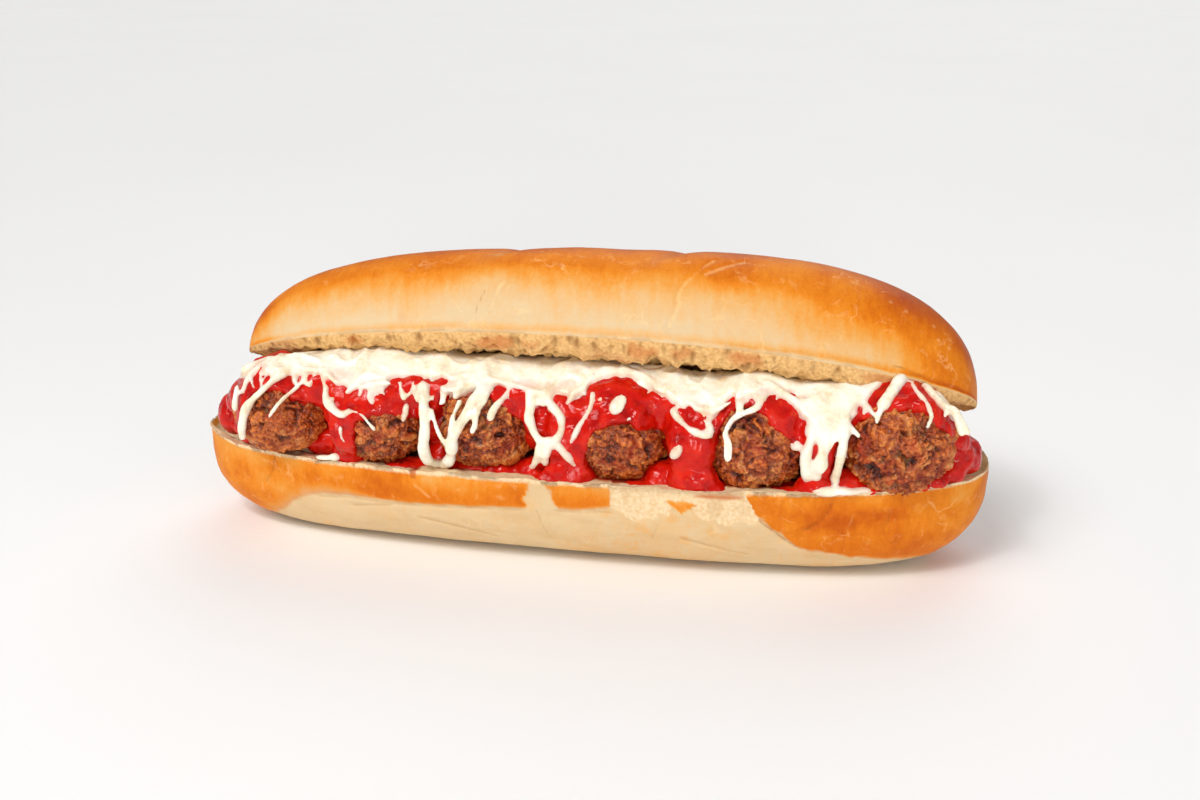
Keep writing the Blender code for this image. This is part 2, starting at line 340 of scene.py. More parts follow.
def grainGroup():
    group = bpy.data.node_groups.new("fineGrain", "ShaderNodeTree")
    for name, kind, way in (("Coords", "NodeSocketVector", "INPUT"), ("Coarse Scale", "NodeSocketFloat", "INPUT"),
                            ("Fine Scale", "NodeSocketFloat", "INPUT"), ("Coarse", "NodeSocketFloat", "OUTPUT"),
                            ("Fine", "NodeSocketFloat", "OUTPUT"), ("Specks", "NodeSocketFloat", "OUTPUT")):
        group.interface.new_socket(name=name, in_out=way, socket_type=kind)
    source = group.nodes.new("NodeGroupInput")
    result = group.nodes.new("NodeGroupOutput")
    for label, scaleName, detail in (("Coarse", "Coarse Scale", 3), ("Fine", "Fine Scale", 6)):
        node = group.nodes.new("ShaderNodeTexNoise")
        group.links.new(source.outputs["Coords"], node.inputs["Vector"])
        group.links.new(source.outputs[scaleName], node.inputs["Scale"])
        node.inputs["Detail"].default_value = detail
        group.links.new(node.outputs["Fac"], result.inputs[label])
    cells = group.nodes.new("ShaderNodeTexVoronoi")
    group.links.new(source.outputs["Coords"], cells.inputs["Vector"])
    group.links.new(source.outputs["Fine Scale"], cells.inputs["Scale"])
    small = mathNode(group, "LESS_THAN", cells.outputs["Distance"], 0.16)
    rare = mathNode(group, "GREATER_THAN", cells.outputs["Color"], 0.8)
    group.links.new(mathNode(group, "MULTIPLY", small, rare), result.inputs["Specks"])
    return group


fineGrain = grainGroup()


def grainOf(tree, coords, coarse, fine):
    node = tree.nodes.new("ShaderNodeGroup")
    node.node_tree = fineGrain
    tree.links.new(coords, node.inputs["Coords"])
    node.inputs["Coarse Scale"].default_value = coarse
    node.inputs["Fine Scale"].default_value = fine
    return node.outputs["Coarse"], node.outputs["Fine"], node.outputs["Specks"]


# the camera, floor and lights

studio = {
    "lookAt": (0.00575, -0.00397, 0.0501), "azimuth": 9.15, "height": 19.6, "distance": 0.4766, "lens": 40,
    "floorColour": (0.96, 0.96, 0.96), "worldColour": (1.0, 1.0, 1.0), "worldStrength": 0.33,
    "lights": (
        # name, kind, place, size in metres or soft angle in degrees, strength, colour
        ("keySun", "SUN", (-0.40, -0.50, 0.80), 30, 1.42, (1.0, 0.985, 0.96)),
        ("fillSun", "SUN", (0.75, -0.70, 0.45), 50, 0.35, (1.0, 0.985, 0.96)),
        ("lowSun", "SUN", (0.16, -1.0, 0.15), 14, 0.88, (1.0, 0.985, 0.96)),
        ("backSun", "SUN", (0.10, 0.80, 0.75), 50, 0.70, (1.0, 1.0, 1.0)),
        ("glossLamp", "AREA", (-0.18, -0.42, 0.62), 0.10, 0.9, (1.0, 0.99, 0.97)),
    ),
}


def placeCamera():
    azimuth, height = math.radians(studio["azimuth"]), math.radians(studio["height"])
    back = Vector((math.sin(azimuth) * math.cos(height), -math.cos(azimuth) * math.cos(height), math.sin(height)))
    camera = bpy.data.objects.new("camera", bpy.data.cameras.new("camera"))
    bpy.context.scene.collection.objects.link(camera)
    camera.location = Vector(studio["lookAt"]) + back * studio["distance"]
    camera.rotation_euler = back.to_track_quat("Z", "Y").to_euler()
    camera.data.lens, camera.data.sensor_width = studio["lens"], 36
    camera.data.clip_start, camera.data.clip_end = 0.01, 60
    bpy.context.scene.camera = camera


def placeLights():
    scene = bpy.context.scene
    scene.view_settings.view_transform = "Standard"
    world = bpy.data.worlds.new("studio")
    scene.world = world
    world.use_nodes = True
    background = world.node_tree.nodes["Background"]
    background.inputs["Color"].default_value = (*studio["worldColour"], 1)
    background.inputs["Strength"].default_value = studio["worldStrength"]
    for name, kind, place, size, power, colour in studio["lights"]:
        light = bpy.data.lights.new(name, kind)
        light.energy, light.color = power, colour
        if kind == "SUN":
            light.angle = math.radians(size)
        else:
            light.shape, light.size = "DISK", size
        lamp = bpy.data.objects.new(name, light)
        scene.collection.objects.link(lamp)
        lamp.location = place
        aim = Vector(place) - Vector(studio["lookAt"])
        lamp.rotation_euler = aim.to_track_quat("Z", "Y").to_euler()


def layFloor():
    half, depth = 14.0, -0.0004
    mesh = bpy.data.meshes.new("floor")
    mesh.from_pydata([(-half, -half, depth), (half, -half, depth), (half, half, depth), (-half, half, depth)],
                     [], [(0, 1, 2, 3)])
    floor = linkPiece("floor", mesh)
    material, tree, shader = newMaterial("floorPaint")
    coords = objectCoords(tree)
    tone = noiseNode(tree, coords, 3, 2)
    colour = ramp(tree, tone, [(0.3, studio["floorColour"]), (0.7, tuple(0.98 * v for v in studio["floorColour"]))])
    tree.links.new(colour, shader.inputs["Base Color"])
    shader.inputs["Roughness"].default_value = 0.75
    mesh.materials.append(material)


placeCamera()
placeLights()
layFloor()
print("camera, lights and floor placed")


# the roll

bunShape = {
    "widening": 0.14, "planPower": 2.5, "outlineRoot": 2.5,
    "bottomLength": 283.5, "bottomHalfWidth": 36.8, "bottomHeight": 33.3, "bottomBulk": 0.048, "tipRise": 1.0,
    "troughDepth": 9.0, "shelfShare": 0.16, "bottomCrustPower": 7.6, "bottomRoundness": 0.62, "baseOverdepth": 1.03,
    "topLength": 261.3, "topHalfWidth": 35.3, "topHeight": 37.9, "topBulk": 0.13, "topCrustPower": 4.1,
    "topRoundness": 0.74, "topDroop": 8.0, "topHollow": 4.5, "topTilt": -29.0, "topRoll": 1.4,
    "topPlace": (5.3, 37.1, 47.0), "scorePlaces": (-21.0, 38.0), "scoreLean": 30.0, "scoreWidth": 5.0,
    "scoreDepth": 0.055,
}


def outlineShare(along, power):
    return np.maximum(0, 1 - np.abs(along) ** power) ** (1 / bunShape["outlineRoot"])


def widthShare(along):
    return outlineShare(along, bunShape["planPower"]) * (1 + bunShape["widening"] * along)


def rounded(value, power):
    return np.sign(value) * np.abs(value) ** power


def bottomEdge(along):
    return bunShape["bottomHeight"] * (1 + bunShape["bottomBulk"] * along) + bunShape["tipRise"] * np.abs(along) ** 3


def bottomSurface(along, angle):
    s, edge, width = bunShape, bottomEdge(along), widthShare(along)
    cosine, sine = np.cos(angle), np.abs(np.sin(angle))
    faceAcross = -cosine
    shelf = s["shelfShare"] + (1 - s["shelfShare"]) * blend(-0.82, -0.42, faceAcross)
    faceHeight = edge - s["troughDepth"] * shelf * np.sqrt(width) * (1 - np.abs(faceAcross) ** 3)
    crustAcross = -rounded(cosine, s["bottomRoundness"])
    drop = s["baseOverdepth"] * outlineShare(along, s["bottomCrustPower"]) * sine ** s["bottomRoundness"]
    crustHeight = np.maximum(0, edge * (1 - drop))
    onFace = angle >= 0
    across = np.where(onFace, faceAcross, crustAcross)
    return np.stack([s["bottomLength"] / 2 * along + 0 * angle, s["bottomHalfWidth"] * width * across,
                     np.where(onFace, faceHeight, crustHeight)], -1)


def scoreShare(x, angle):
    share = 1.0
    for place in bunShape["scorePlaces"]:
        away = (x - place + bunShape["scoreLean"] * np.maximum(0, np.cos(angle))) / bunShape["scoreWidth"]
        share = share - bunShape["scoreDepth"] * np.exp(-away ** 2) * np.sin(angle) ** 2
    return share


def tiltTop(points):
    tilt, roll = math.radians(bunShape["topTilt"]), math.radians(bunShape["topRoll"])
    aroundX = np.array([[1, 0, 0], [0, math.cos(tilt), -math.sin(tilt)], [0, math.sin(tilt), math.cos(tilt)]])
    aroundY = np.array([[math.cos(roll), 0, math.sin(roll)], [0, 1, 0], [-math.sin(roll), 0, math.cos(roll)]])
    return points @ (aroundY @ aroundX).T + np.array(bunShape["topPlace"])


def topSurface(along, angle):
    s, width = bunShape, widthShare(along)
    cosine, sine = np.cos(angle), np.abs(np.sin(angle))
    x = s["topLength"] / 2 * along + 0 * angle
    faceAcross = -cosine
    faceHeight = s["topHollow"] * width * (1 - faceAcross ** 2)
    crustAcross = -rounded(cosine, s["topRoundness"])
    crustHeight = (s["topHeight"] * (1 + s["topBulk"] * along) * outlineShare(along, s["topCrustPower"])
                   * sine ** s["topRoundness"] * scoreShare(x, angle))
    onFace = angle <= 0
    across = np.where(onFace, faceAcross, crustAcross)
    height = np.where(onFace, faceHeight, crustHeight) - s["topDroop"] * np.abs(along) ** 2.2
    return tiltTop(np.stack([x, s["topHalfWidth"] * (width * across - 1), height], -1))


def ringPlaces(count, ease):
    even = np.linspace(-1, 1, count)
    return ((1 - ease) * even + ease * np.sin(even * math.pi / 2)) * 0.99995


def angleRun(*stretches):
    runs = [np.linspace(start, end, count, endpoint=False) for start, end, count in stretches]
    return np.radians(np.concatenate(runs))


bottomBun = {
    "rings": 350, "ease": 0.42, "seed": 11,
    # lower edge of the browned band on the front, along x
    "bandEdge": ((-142, -4), (-124, 1), (-112, 6), (-105, 11.7), (-99, 17), (-90, 19.8), (-79, 20.6), (-58, 20.2),
                 (-45, 21.2), (-30, 21.7), (-15.4, 22.6), (-11.6, 33), (-7.8, 34), (-4.4, 23.2), (5, 23.8),
                 (14.8, 25.0), (17.6, 40), (58, 40), (59.5, 30), (65.4, 24.4), (72, 18), (77.5, 13.5), (89, 11.0),
                 (102, 8.5), (119, 7), (134, 1), (142, -4)),
    "bandEdgeBack": ((-142, -4), (-122, 4), (-105, 14), (-70, 19), (-20, 17), (40, 20), (80, 16), (112, 8), (142, -4)),
    # torn crumb on the front, lower edge along x
    "tornEdge": ((15.0, 40), (15.8, 24.3), (20, 22.0), (25.3, 21.0), (31, 22.4), (34.2, 24.4), (38.8, 29.6), (43.0, 26.0),
                 (46, 23.2), (52.2, 21.4), (60.2, 21.9), (64.5, 23.6), (62, 29), (61.9, 40)),
    "cracks": (((59.5, 31.5), (62, 27.5), (65.4, 23.4), (69, 20.4), (72.3, 17.4), (77.5, 13.3)),
               ((89.1, 30.2), (87.5, 26.5), (85.1, 23.5), (80.6, 20.4)), ((108.7, 27), (107.5, 22.2)),
               ((-107.6, 33.5), (-108.4, 31.4), (-110.3, 24.8), (-113.6, 19.7))),
    "folds": (((-78.7, 15.8), (-63.3, 18.3)), ((-54.1, 14.4), (-37.6, 11.5), (-25.3, 8.5)),
              ((39.2, 14.8), (50, 12.2), (61.9, 8.9)), ((29.3, 13.9), (31.4, 19.6)),
              ((-10.4, 21.6), (-8.6, 15), (-5.9, 9.5)), ((-92, 17.6), (-80, 19.2), (-58, 18.9), (-38, 20.3), (-16, 21.3)),
              ((-5, 22), (8, 22.6), (16, 23.4))),
    "paleLines": (((-53.9, 27.6), (-48.4, 23.2)),),
}


def frontLine(places):
    line = []
    angles = np.radians(np.linspace(-88, 0, 400))
    for x, z in places:
        ring = bottomSurface(np.full(400, x * 2 / bunShape["bottomLength"]), angles)
        line.append(ring[np.argmin(np.abs(ring[:, 2] - z))])
    return np.array(line)


def makeBottomBun():
    b = bottomBun
    along = ringPlaces(b["rings"], b["ease"])[:, None]
    angle = angleRun((-180, -92, 34), (-92, -4, 84), (-4, 4, 10), (4, 42, 30), (42, 178, 24), (178, 180, 2))[None]
    rings = bottomSurface(along, angle)
    mesh = loftMesh("bun_bottom", rings)
    flatAngle = np.concatenate([(0 * along + angle).ravel(), [-1.5, -1.5]])
    base, normals = readPoints(mesh), readNormals(mesh)
    x, y, z = base.T
    edge = bottomEdge(np.clip(x * 2 / bunShape["bottomLength"], -1, 1))
    crust = flatAngle < 0
    front = np.degrees(flatAngle) > -90
    onFace = ~crust

    lumps = layeredNoise(base * np.array([0.6, 1, 1]), 34, b["seed"], 2) * 0.55
    ripples = layeredNoise(base * np.array([0.5, 1, 1.2]), 7, b["seed"] + 3, 3)
    fine = layeredNoise(base, 1.6, b["seed"] + 5, 3)
    wander = layeredNoise(base * np.array([1, 0.2, 0.2]), 9, b["seed"] + 8, 4) * 0.8

    ragged = layeredNoise(base, 4.5, b["seed"] + 44, 4, 0.6)
    strayX = x + 1.3 * ragged + 0.12 * (z - 27) * blend(-30, -5, x) * blend(15, 5, x)
    bandEdge = np.where(front, alongTable(b["bandEdge"], strayX), alongTable(b["bandEdgeBack"], x) + 3 * wander)
    above = z - bandEdge + 0.5 * wander + 0.35 * ragged
    soften = 1 + 4.5 * blend(-62, -96, x) + 2.0 * blend(90, 125, x)
    browned = blend(-0.8, 1.1, above / soften)
    browned = np.where(front, browned, blend(-3.0, 4.0, above))
    under = blend(1.2, -1.2, z)
    browned = browned * (1 - 0.8 * under)
    patches = layeredNoise(base * np.array([0.7, 1, 1]), 15, b["seed"] + 41, 4, 0.6)
    towardRim = blend(9, 1, edge - z)
    browned = browned * (1.0 + 0.24 * patches - 0.14 * towardRim - 0.14 * blend(-70, -105, x) + 0.08 * blend(60, 100, x))
    browned += (0.17 * patches + 0.10 * blend(8, 2, z) - 0.04) * (browned < 0.3)

    torn = np.zeros(len(x))
    tornEdge = alongTable(b["tornEdge"][1:-2], x)
    inTorn = (x > 15.4 + 0.5 * wander) & (x < 66 - 0.62 * (z - 23))
    torn = np.where(inTorn & front, blend(-1.6, 1.6, z - tornEdge + 0.9 * wander + 1.4 * ragged), 0)
    inPatch = blend(13.6, 16.8, x + 2.2 * ragged) * blend(62.2, 59.0, x + 2.2 * ragged) * front
    browned = browned * (1 - inPatch) + inPatch * (0.10 + 0.22 * blend(0.1, 0.9, ragged))
    wedge = blend(-0.4, 0.5, z - 24.6 - np.abs(x - 39.2) * 0.72 + 0.5 * ragged) * blend(29.6, 28.4, z + 0.5 * ragged)
    wedge = wedge * front * (np.abs(x - 39) < 9)
    browned = np.maximum(browned, 0.9 * wedge)
    torn = torn * (1 - wedge)

    rimNoise = layeredNoise(base * np.array([1, 0.1, 0.1]), 5, b["seed"] + 12, 4)
    rim = blend(1.0, 0.3, (edge - z) + 0.5 * rimNoise)
    crumb = np.maximum(np.where(onFace, 1, rim), torn)

    cracks = np.full(len(x), 9.0)
    for line in b["cracks"]:
        cracks = np.minimum(cracks, lineDistance(base, frontLine(line)))
    folds = np.full(len(x), 9.0)
    for line in b["folds"]:
        folds = np.minimum(folds, lineDistance(base, frontLine(line)))
    cracks = np.where(front, cracks + 0.25 * fine, 9)
    folds = np.where(front, folds + 0.15 * fine, 9)
    paleLine = lineDistance(base, frontLine(b["paleLines"][0])) + 0.2 * fine

    push = np.where(crust, lumps + 0.16 * ripples + 0.03 * fine, 0)
    push -= np.where(crust, 0.75 * np.exp(-(cracks / 0.75) ** 2) + 0.40 * np.exp(-(folds / 0.7) ** 2), 0)
    push += np.where(crust & front, 0.28 * blend(-0.2, 0.6, above) * blend(6, 0.6, above), 0)
    tearing = layeredNoise(base * np.array([1, 1, 0.55]), 5.0, b["seed"] + 20, 4, 0.5)
    cellNear, cellSecond, cellTone = grains(base, 2.1, b["seed"] + 30)
    pores = blend(0.36, 0.12, cellNear) * (cellTone > 0.62)
    push -= torn * (0.55 - 0.17 * tearing)
    push += np.where(onFace, 0.40 * tearing - 0.6 * pores, 0) * blend(0.0, 2.0, np.degrees(flatAngle))
    settled = base + normals * push[:, None]
    settled[:, 2] += rimNoise * 0.45 * blend(3.5, 0.3, np.abs(edge - z)) * (np.abs(np.degrees(flatAngle)) < 30)
    settled[:, 2] += 2.2 * blend(-122, -141, x) * blend(20, 32, z)
    settled[:, 2] = np.where(z < 0.02, 0.0, settled[:, 2])
    writePoints(mesh, settled)

    keepValues(mesh, "browned", browned)
    keepValues(mesh, "crumb", crumb)
    keepValues(mesh, "torn", torn)
    keepValues(mesh, "cracks", np.minimum(np.where(crust, cracks, 9), 6))
    keepValues(mesh, "folds", np.minimum(np.where(crust, np.minimum(folds, 9), 9), 6))
    keepValues(mesh, "paleLines", np.minimum(paleLine, 6))
    keepValues(mesh, "bandShade", np.where(crust, blend(9, 0, np.abs(above - 1.2)) * (above > -0.6), 0))
    keepValues(mesh, "pores", np.where(onFace, pores, 0.35 * torn * blend(-0.1, -0.9, tearing)))
    streak = 0.55 * blend(1.9, 0.3, np.abs(z - (edge - 1.9)) + 0.5 * ragged) * blend(40, 47, x) * blend(64, 56, x)
    soak = np.maximum(streak * front * crust, blend(2.6, 0.8, np.hypot(x + 54.3, (z - 31.6) * 1.2)) * front)
    inward = (y + bunShape["bottomHalfWidth"] * widthShare(np.clip(x * 2 / bunShape["bottomLength"], -1, 1)))
    sauceSoak = blend(3.6, 7.0, inward + 1.6 * rimNoise) * blend(-4, -12, y) * onFace
    keepValues(mesh, "soaked", np.maximum(soak, sauceSoak))
    piece = linkPiece("bun_bottom", mesh)
    settle(piece, "crust", "bun_bottom")
    return piece


topBun = {
    "rings": 350, "ease": 0.42, "seed": 51, "lip": 6.6,
    # angle on the front where the crust turns from pale to golden, along x
    "turnFront": ((-131, 22), (-108, 20), (-70, 19.5), (-33, 22), (2, 19), (35, 18.5), (68, 11), (101, 4),
                  (112, -8), (131, -30)),
    "turnBack": ((-131, 40), (-80, 26), (0, 20), (60, 24), (131, 4)),
    "creases": (((38.5, 48), (30.3, 27), (28.1, 18), (28.7, 14), (26.3, 4)), ((48.6, 49), (42, 41), (36.4, 34)),
                ((-21.3, 56), (-32.9, 20), (-35.1, 7))),
    "cracks": (((-37.9, 17), (-39.4, 10), (-40.1, 5)),),
    "seam": (((100, 2.5), (109.1, 1.5), (124.6, 1.2)),),
    "blisters": ((103.2, 35), (112.8, 35), (114.5, 25), (118.2, 24), (98, 38)),
    # sauce stains on the cut face: along x, how far in, size
    "stains": ((-34.0, 20.0, 9.0), (-20, 13, 5), (18.0, 16.0, 8.0), (30, 14, 5), (52, 12, 7), (92, 9, 9), (-84, 16, 6)),
}


def topLine(places):
    places = np.array(places, float)
    return topSurface(places[:, 0] * 2 / bunShape["topLength"], np.radians(places[:, 1]))


def makeTopBun():
    b = topBun
    along = ringPlaces(b["rings"], b["ease"])[:, None]
    angle = angleRun((-180, -75, 20), (-75, -3, 66), (-3, 3, 8), (3, 92, 80), (92, 180, 40))[None]
    rings = topSurface(along, angle)
    mesh = loftMesh("bun_top", rings)
    flatAngle = np.concatenate([(0 * along + angle).ravel(), [1.0, 1.0]])
    base, normals = readPoints(mesh), readNormals(mesh)
    x = np.concatenate([(bunShape["topLength"] / 2 * along + 0 * angle).ravel(), [-131, 131]])
    degrees = np.degrees(flatAngle)
    crust = flatAngle > 0
    onFace = ~crust

    lumps = layeredNoise(base * np.array([0.55, 1, 1]), 36, b["seed"], 2) * 0.6
    ripples = layeredNoise(base * np.array([0.5, 1, 1]), 8, b["seed"] + 3, 3)
    fine = layeredNoise(base, 1.6, b["seed"] + 5, 3)
    slant = np.stack([x * 0.42 + degrees * 0.05, degrees * 0.045, np.zeros_like(x)], 1)
    brush = layeredNoise(slant, 1.0, b["seed"] + 9, 4, 0.6)
    wander = layeredNoise(base, 18, b["seed"] + 14, 4)

    turn = alongTable(b["turnFront"], x)
    frontShare = np.clip((degrees - turn + 1.8 * brush + 2.4 * wander) / 33 + 0.5, 0, 1)
    backTurn = 180 - alongTable(b["turnBack"], x)
    backShare = np.clip((backTurn - degrees + 2.4 * brush + 3.5 * wander) / 30 + 0.5, 0, 1)
    browned = np.where(degrees < 90, frontShare, backShare)
    # the right end is darker: partly real browning, partly painted shade
    browned += 0.38 * blend(70, 122, x) * blend(8, 50, degrees) * (degrees < 175)
    browned += 0.22 * blend(36, 80, degrees) * blend(165, 130, degrees) + 0.13 * wander * blend(10, 30, degrees)
    browned += 0.42 * blend(3.2, 0.3, degrees) * blend(-131, -122, x)
    browned += 0.75 * blend(-108, -130, x) * blend(70, 10, degrees)
    browned = np.where(crust, np.clip(browned, 0, 2), 0)

    creases = np.full(len(x), 9.0)
    for line in b["creases"]:
        creases = np.minimum(creases, lineDistance(base, topLine(line)))
    cracks = lineDistance(base, topLine(b["cracks"][0])) + 0.15 * fine
    seam = lineDistance(base, topLine(b["seam"][0])) + 0.15 * fine
    creases = creases + 0.35 * fine
    cellNear, cellSecond, cellTone = grains(base, 3.4, b["seed"] + 30)
    pores = blend(0.46, 0.12, cellNear) * (cellTone > 0.35)
    smallNear, smallSecond, smallTone = grains(base, 1.5, b["seed"] + 40)
    pores = np.maximum(pores, blend(0.40, 0.15, smallNear) * (smallTone > 0.4) * 0.7)
    tearing = layeredNoise(base, 3.5, b["seed"] + 20, 4)
    rimNoise = layeredNoise(base * np.array([1, 0.1, 0.1]), 5, b["seed"] + 12, 4)

    push = np.where(crust, lumps + 0.14 * ripples + 0.02 * fine, 0)
    push -= np.where(crust, 0.45 * np.exp(-(creases / 1.1) ** 2) + 0.35 * np.exp(-(cracks / 0.5) ** 2)
                     + 0.25 * np.exp(-(seam / 0.5) ** 2), 0)
    blister = np.full(len(x), 9.0)
    for place in b["blisters"]:
        blister = np.minimum(blister, np.linalg.norm(base - topLine([place])[0], axis=1))
    push += 0.22 * np.exp(-(blister / 0.9) ** 2)
    bulge = b["lip"] * blend(0.0, -30.0, degrees) * blend(-100.0, -52.0, degrees)
    bulge *= widthShare(np.clip(x * 2 / bunShape["topLength"], -1, 1)) * (1 + 0.22 * tearing)
    push += np.where(onFace, bulge, 0)
    push += np.where(onFace, 0.35 * tearing - 1.2 * pores, 0) * blend(-5.0, -16.0, degrees)
    settled = base + normals * push[:, None]
    settled[:, 2] += rimNoise * 0.35 * blend(9, 1, np.abs(degrees))
    writePoints(mesh, settled)

    keepValues(mesh, "browned", browned)
    keepValues(mesh, "crumb", np.where(onFace, blend(-1.0, -6.0, degrees + 2.0 * rimNoise), 0))
    keepValues(mesh, "torn", np.zeros(len(x)))
    lipLine = np.abs(degrees + 1.5) * 0.20 + 0.5 * blend(-0.2, 0.8, layeredNoise(base, 6, b["seed"] + 60, 3))
    keepValues(mesh, "cracks", np.minimum(np.where(crust, np.minimum(cracks, seam), 9), np.minimum(lipLine, 6)))
    keepValues(mesh, "folds", np.full(len(x), 6.0))
    keepValues(mesh, "paleLines", np.minimum(np.where(crust, np.minimum(creases, blister * 0.8), 9), 6))
    keepValues(mesh, "bandShade", np.zeros(len(x)))
    keepValues(mesh, "pores", np.where(onFace, pores, 0))
    soaked = np.zeros(len(x))
    for place, inward, size in b["stains"]:
        spot = np.hypot((x - place) / size, (degrees + inward) / 14)
        soaked = np.maximum(soaked, blend(1.25, 0.3, spot + 0.35 * tearing))
    soaked = soaked * onFace * blend(-2, -13, degrees + 3 * tearing)
    keepValues(mesh, "soaked", np.maximum(0.40 * soaked, 0.35 * blend(-50, -80, degrees)))
    piece = linkPiece("bun_top", mesh)
    settle(piece, "crust", "bun_top")
    return piece


breadLook = {
    "browning": ((0.0, seen(218, 190, 148)), (0.15, seen(222, 178, 122)), (0.26, seen(224, 164, 90)),
                 (0.36, seen(226, 148, 58)), (0.45, seen(224, 132, 30)), (0.54, seen(212, 114, 18)),
                 (0.64, seen(194, 92, 12)), (0.78, seen(172, 68, 6)), (1.0, seen(138, 46, 4))),
    "deep": seen(206, 104, 16), "crumb": seen(234, 210, 172), "crumbShade": seen(220, 186, 138),
    "poreShade": seen(184, 136, 86), "crackShade": seen(158, 92, 34), "foldShade": seen(182, 138, 88),
    "lineColour": seen(252, 212, 148), "sauceEdge": seen(190, 92, 26), "sauceSoak": seen(158, 30, 10),
    "streakShade": seen(196, 158, 108),
}


def breadMaterial(name, crumbTint, flourStrength):
    look = breadLook
    material, tree, shader = newMaterial(name)
    coords = objectCoords(tree)
    coarse, fine, specks = grainOf(tree, coords, 70, 900)
    stretched = tree.nodes.new("ShaderNodeMapping")
    tree.links.new(coords, stretched.inputs["Vector"])
    stretched.inputs["Scale"].default_value = (1.0, 0.35, 0.35)
    brush = noiseNode(tree, stretched.outputs[0], 520, 4, 0.6)
    browned = keptValue(tree, "browned")
    mottled = mathNode(tree, "MULTIPLY_ADD", mathNode(tree, "SUBTRACT", coarse, 0.5), 0.50, browned)
    mottled = mathNode(tree, "MULTIPLY_ADD", mathNode(tree, "SUBTRACT", brush, 0.5), 0.36, mottled)
    mottled = mathNode(tree, "MULTIPLY_ADD", mathNode(tree, "SUBTRACT", fine, 0.5), 0.22, mottled)
    scaled = mathNode(tree, "MULTIPLY", mottled, 0.5)
    crust = ramp(tree, scaled, look["browning"])
    lying = tree.nodes.new("ShaderNodeMapping")
    tree.links.new(coords, lying.inputs["Vector"])
    lying.inputs["Scale"].default_value = (0.35, 1.0, 1.0)
    flour = spread(tree, noiseNode(tree, lying.outputs[0], 170, 6, 0.65, 0.5), 0.46, 0.70, 0, flourStrength)
    flour = mathNode(tree, "MULTIPLY", flour, spread(tree, mottled, 0.5, 0.1))
    crust = mixColours(tree, flour, crust, look["streakShade"])
    shade = mathNode(tree, "MULTIPLY", keptValue(tree, "bandShade"), 0.36)
    crust = mixColours(tree, shade, crust, look["deep"])
    crazing = tree.nodes.new("ShaderNodeTexVoronoi")
    crazing.feature = "DISTANCE_TO_EDGE"
    warped = tree.nodes.new("ShaderNodeVectorMath")
    warped.operation = "MULTIPLY_ADD"
    swirl = tree.nodes.new("ShaderNodeTexNoise")
    tree.links.new(coords, swirl.inputs["Vector"])
    swirl.inputs["Scale"].default_value, swirl.inputs["Detail"].default_value = 110, 4
    tree.links.new(swirl.outputs["Color"], warped.inputs[0])
    warped.inputs[1].default_value = (0.016, 0.016, 0.016)
    tree.links.new(coords, warped.inputs[2])
    tree.links.new(warped.outputs[0], crazing.inputs["Vector"])
    crazing.inputs["Scale"].default_value = 85
    crazed = spread(tree, crazing.outputs["Distance"], 0.045, 0.008)
    crazed = mathNode(tree, "MULTIPLY", crazed, spread(tree, noiseNode(tree, coords, 95, 3), 0.54, 0.68, 0, 0.28))
    crust = mixColours(tree, crazed, crust, look["lineColour"])
    scuffs = spread(tree, noiseNode(tree, coords, 210, 6, 0.65, 0.8), 0.58, 0.72, 0, 0.20)
    scuffs = mathNode(tree, "MULTIPLY", scuffs, spread(tree, mottled, 0.5, 0.8))
    scuffs = mathNode(tree, "MULTIPLY", scuffs, spread(tree, mottled, 1.35, 1.1))
    crust = mixColours(tree, scuffs, crust, look["lineColour"])
    lines = spread(tree, keptValue(tree, "paleLines"), 0.8, 0.2)
    crust = mixColours(tree, mathNode(tree, "MULTIPLY", lines, 0.30), crust, look["lineColour"])
    cracks = spread(tree, keptValue(tree, "cracks"), 0.5, 0.1)
    crust = mixColours(tree, mathNode(tree, "MULTIPLY", cracks, 0.45), crust, look["crackShade"])
    folds = spread(tree, keptValue(tree, "folds"), 0.6, 0.15)
    crust = mixColours(tree, mathNode(tree, "MULTIPLY", folds, 0.30), crust, look["foldShade"])
    crust = mixColours(tree, mathNode(tree, "MULTIPLY", specks, 0.14), crust, look["lineColour"])
    crumbTone = ramp(tree, fine, [(0.3, crumbTint[0]), (0.65, crumbTint[1])])
    crumbTone = mixColours(tree, mathNode(tree, "MULTIPLY", keptValue(tree, "pores"), 0.7), crumbTone, crumbTint[2])
    crumbMask = mathNode(tree, "MULTIPLY_ADD", mathNode(tree, "SUBTRACT", fine, 0.5), 0.5, keptValue(tree, "crumb"))
    colour = mixColours(tree, spread(tree, crumbMask, 0.30, 0.70), crust, crumbTone)
    soakMask = mathNode(tree, "MULTIPLY_ADD", mathNode(tree, "SUBTRACT", coarse, 0.5), 0.8, keptValue(tree, "soaked"))
    colour = mixColours(tree, spread(tree, soakMask, 0.15, 0.60, 0, 0.75), colour, look["sauceEdge"])
    colour = mixColours(tree, spread(tree, soakMask, 0.72, 1.0, 0, 0.9), colour, look["sauceSoak"])
    tree.links.new(colour, shader.inputs["Base Color"])
    rough = spread(tree, mottled, 0.2, 1.2, 0.60, 0.42)
    rough = mathNode(tree, "MULTIPLY_ADD", keptValue(tree, "crumb"), 0.3, rough)
    tree.links.new(rough, shader.inputs["Roughness"])
    micro = bumped(tree, fine, 0.35, 0.00022)
    tree.links.new(bumped(tree, brush, 0.25, 0.00030, micro), shader.inputs["Normal"])
    shader.inputs["Subsurface Weight"].default_value = 0.12
    shader.inputs["Subsurface Radius"].default_value = (1.0, 0.55, 0.28)
    shader.inputs["Subsurface Scale"].default_value = 0.003
    shader.inputs["Specular IOR Level"].default_value = 0.11
    return material


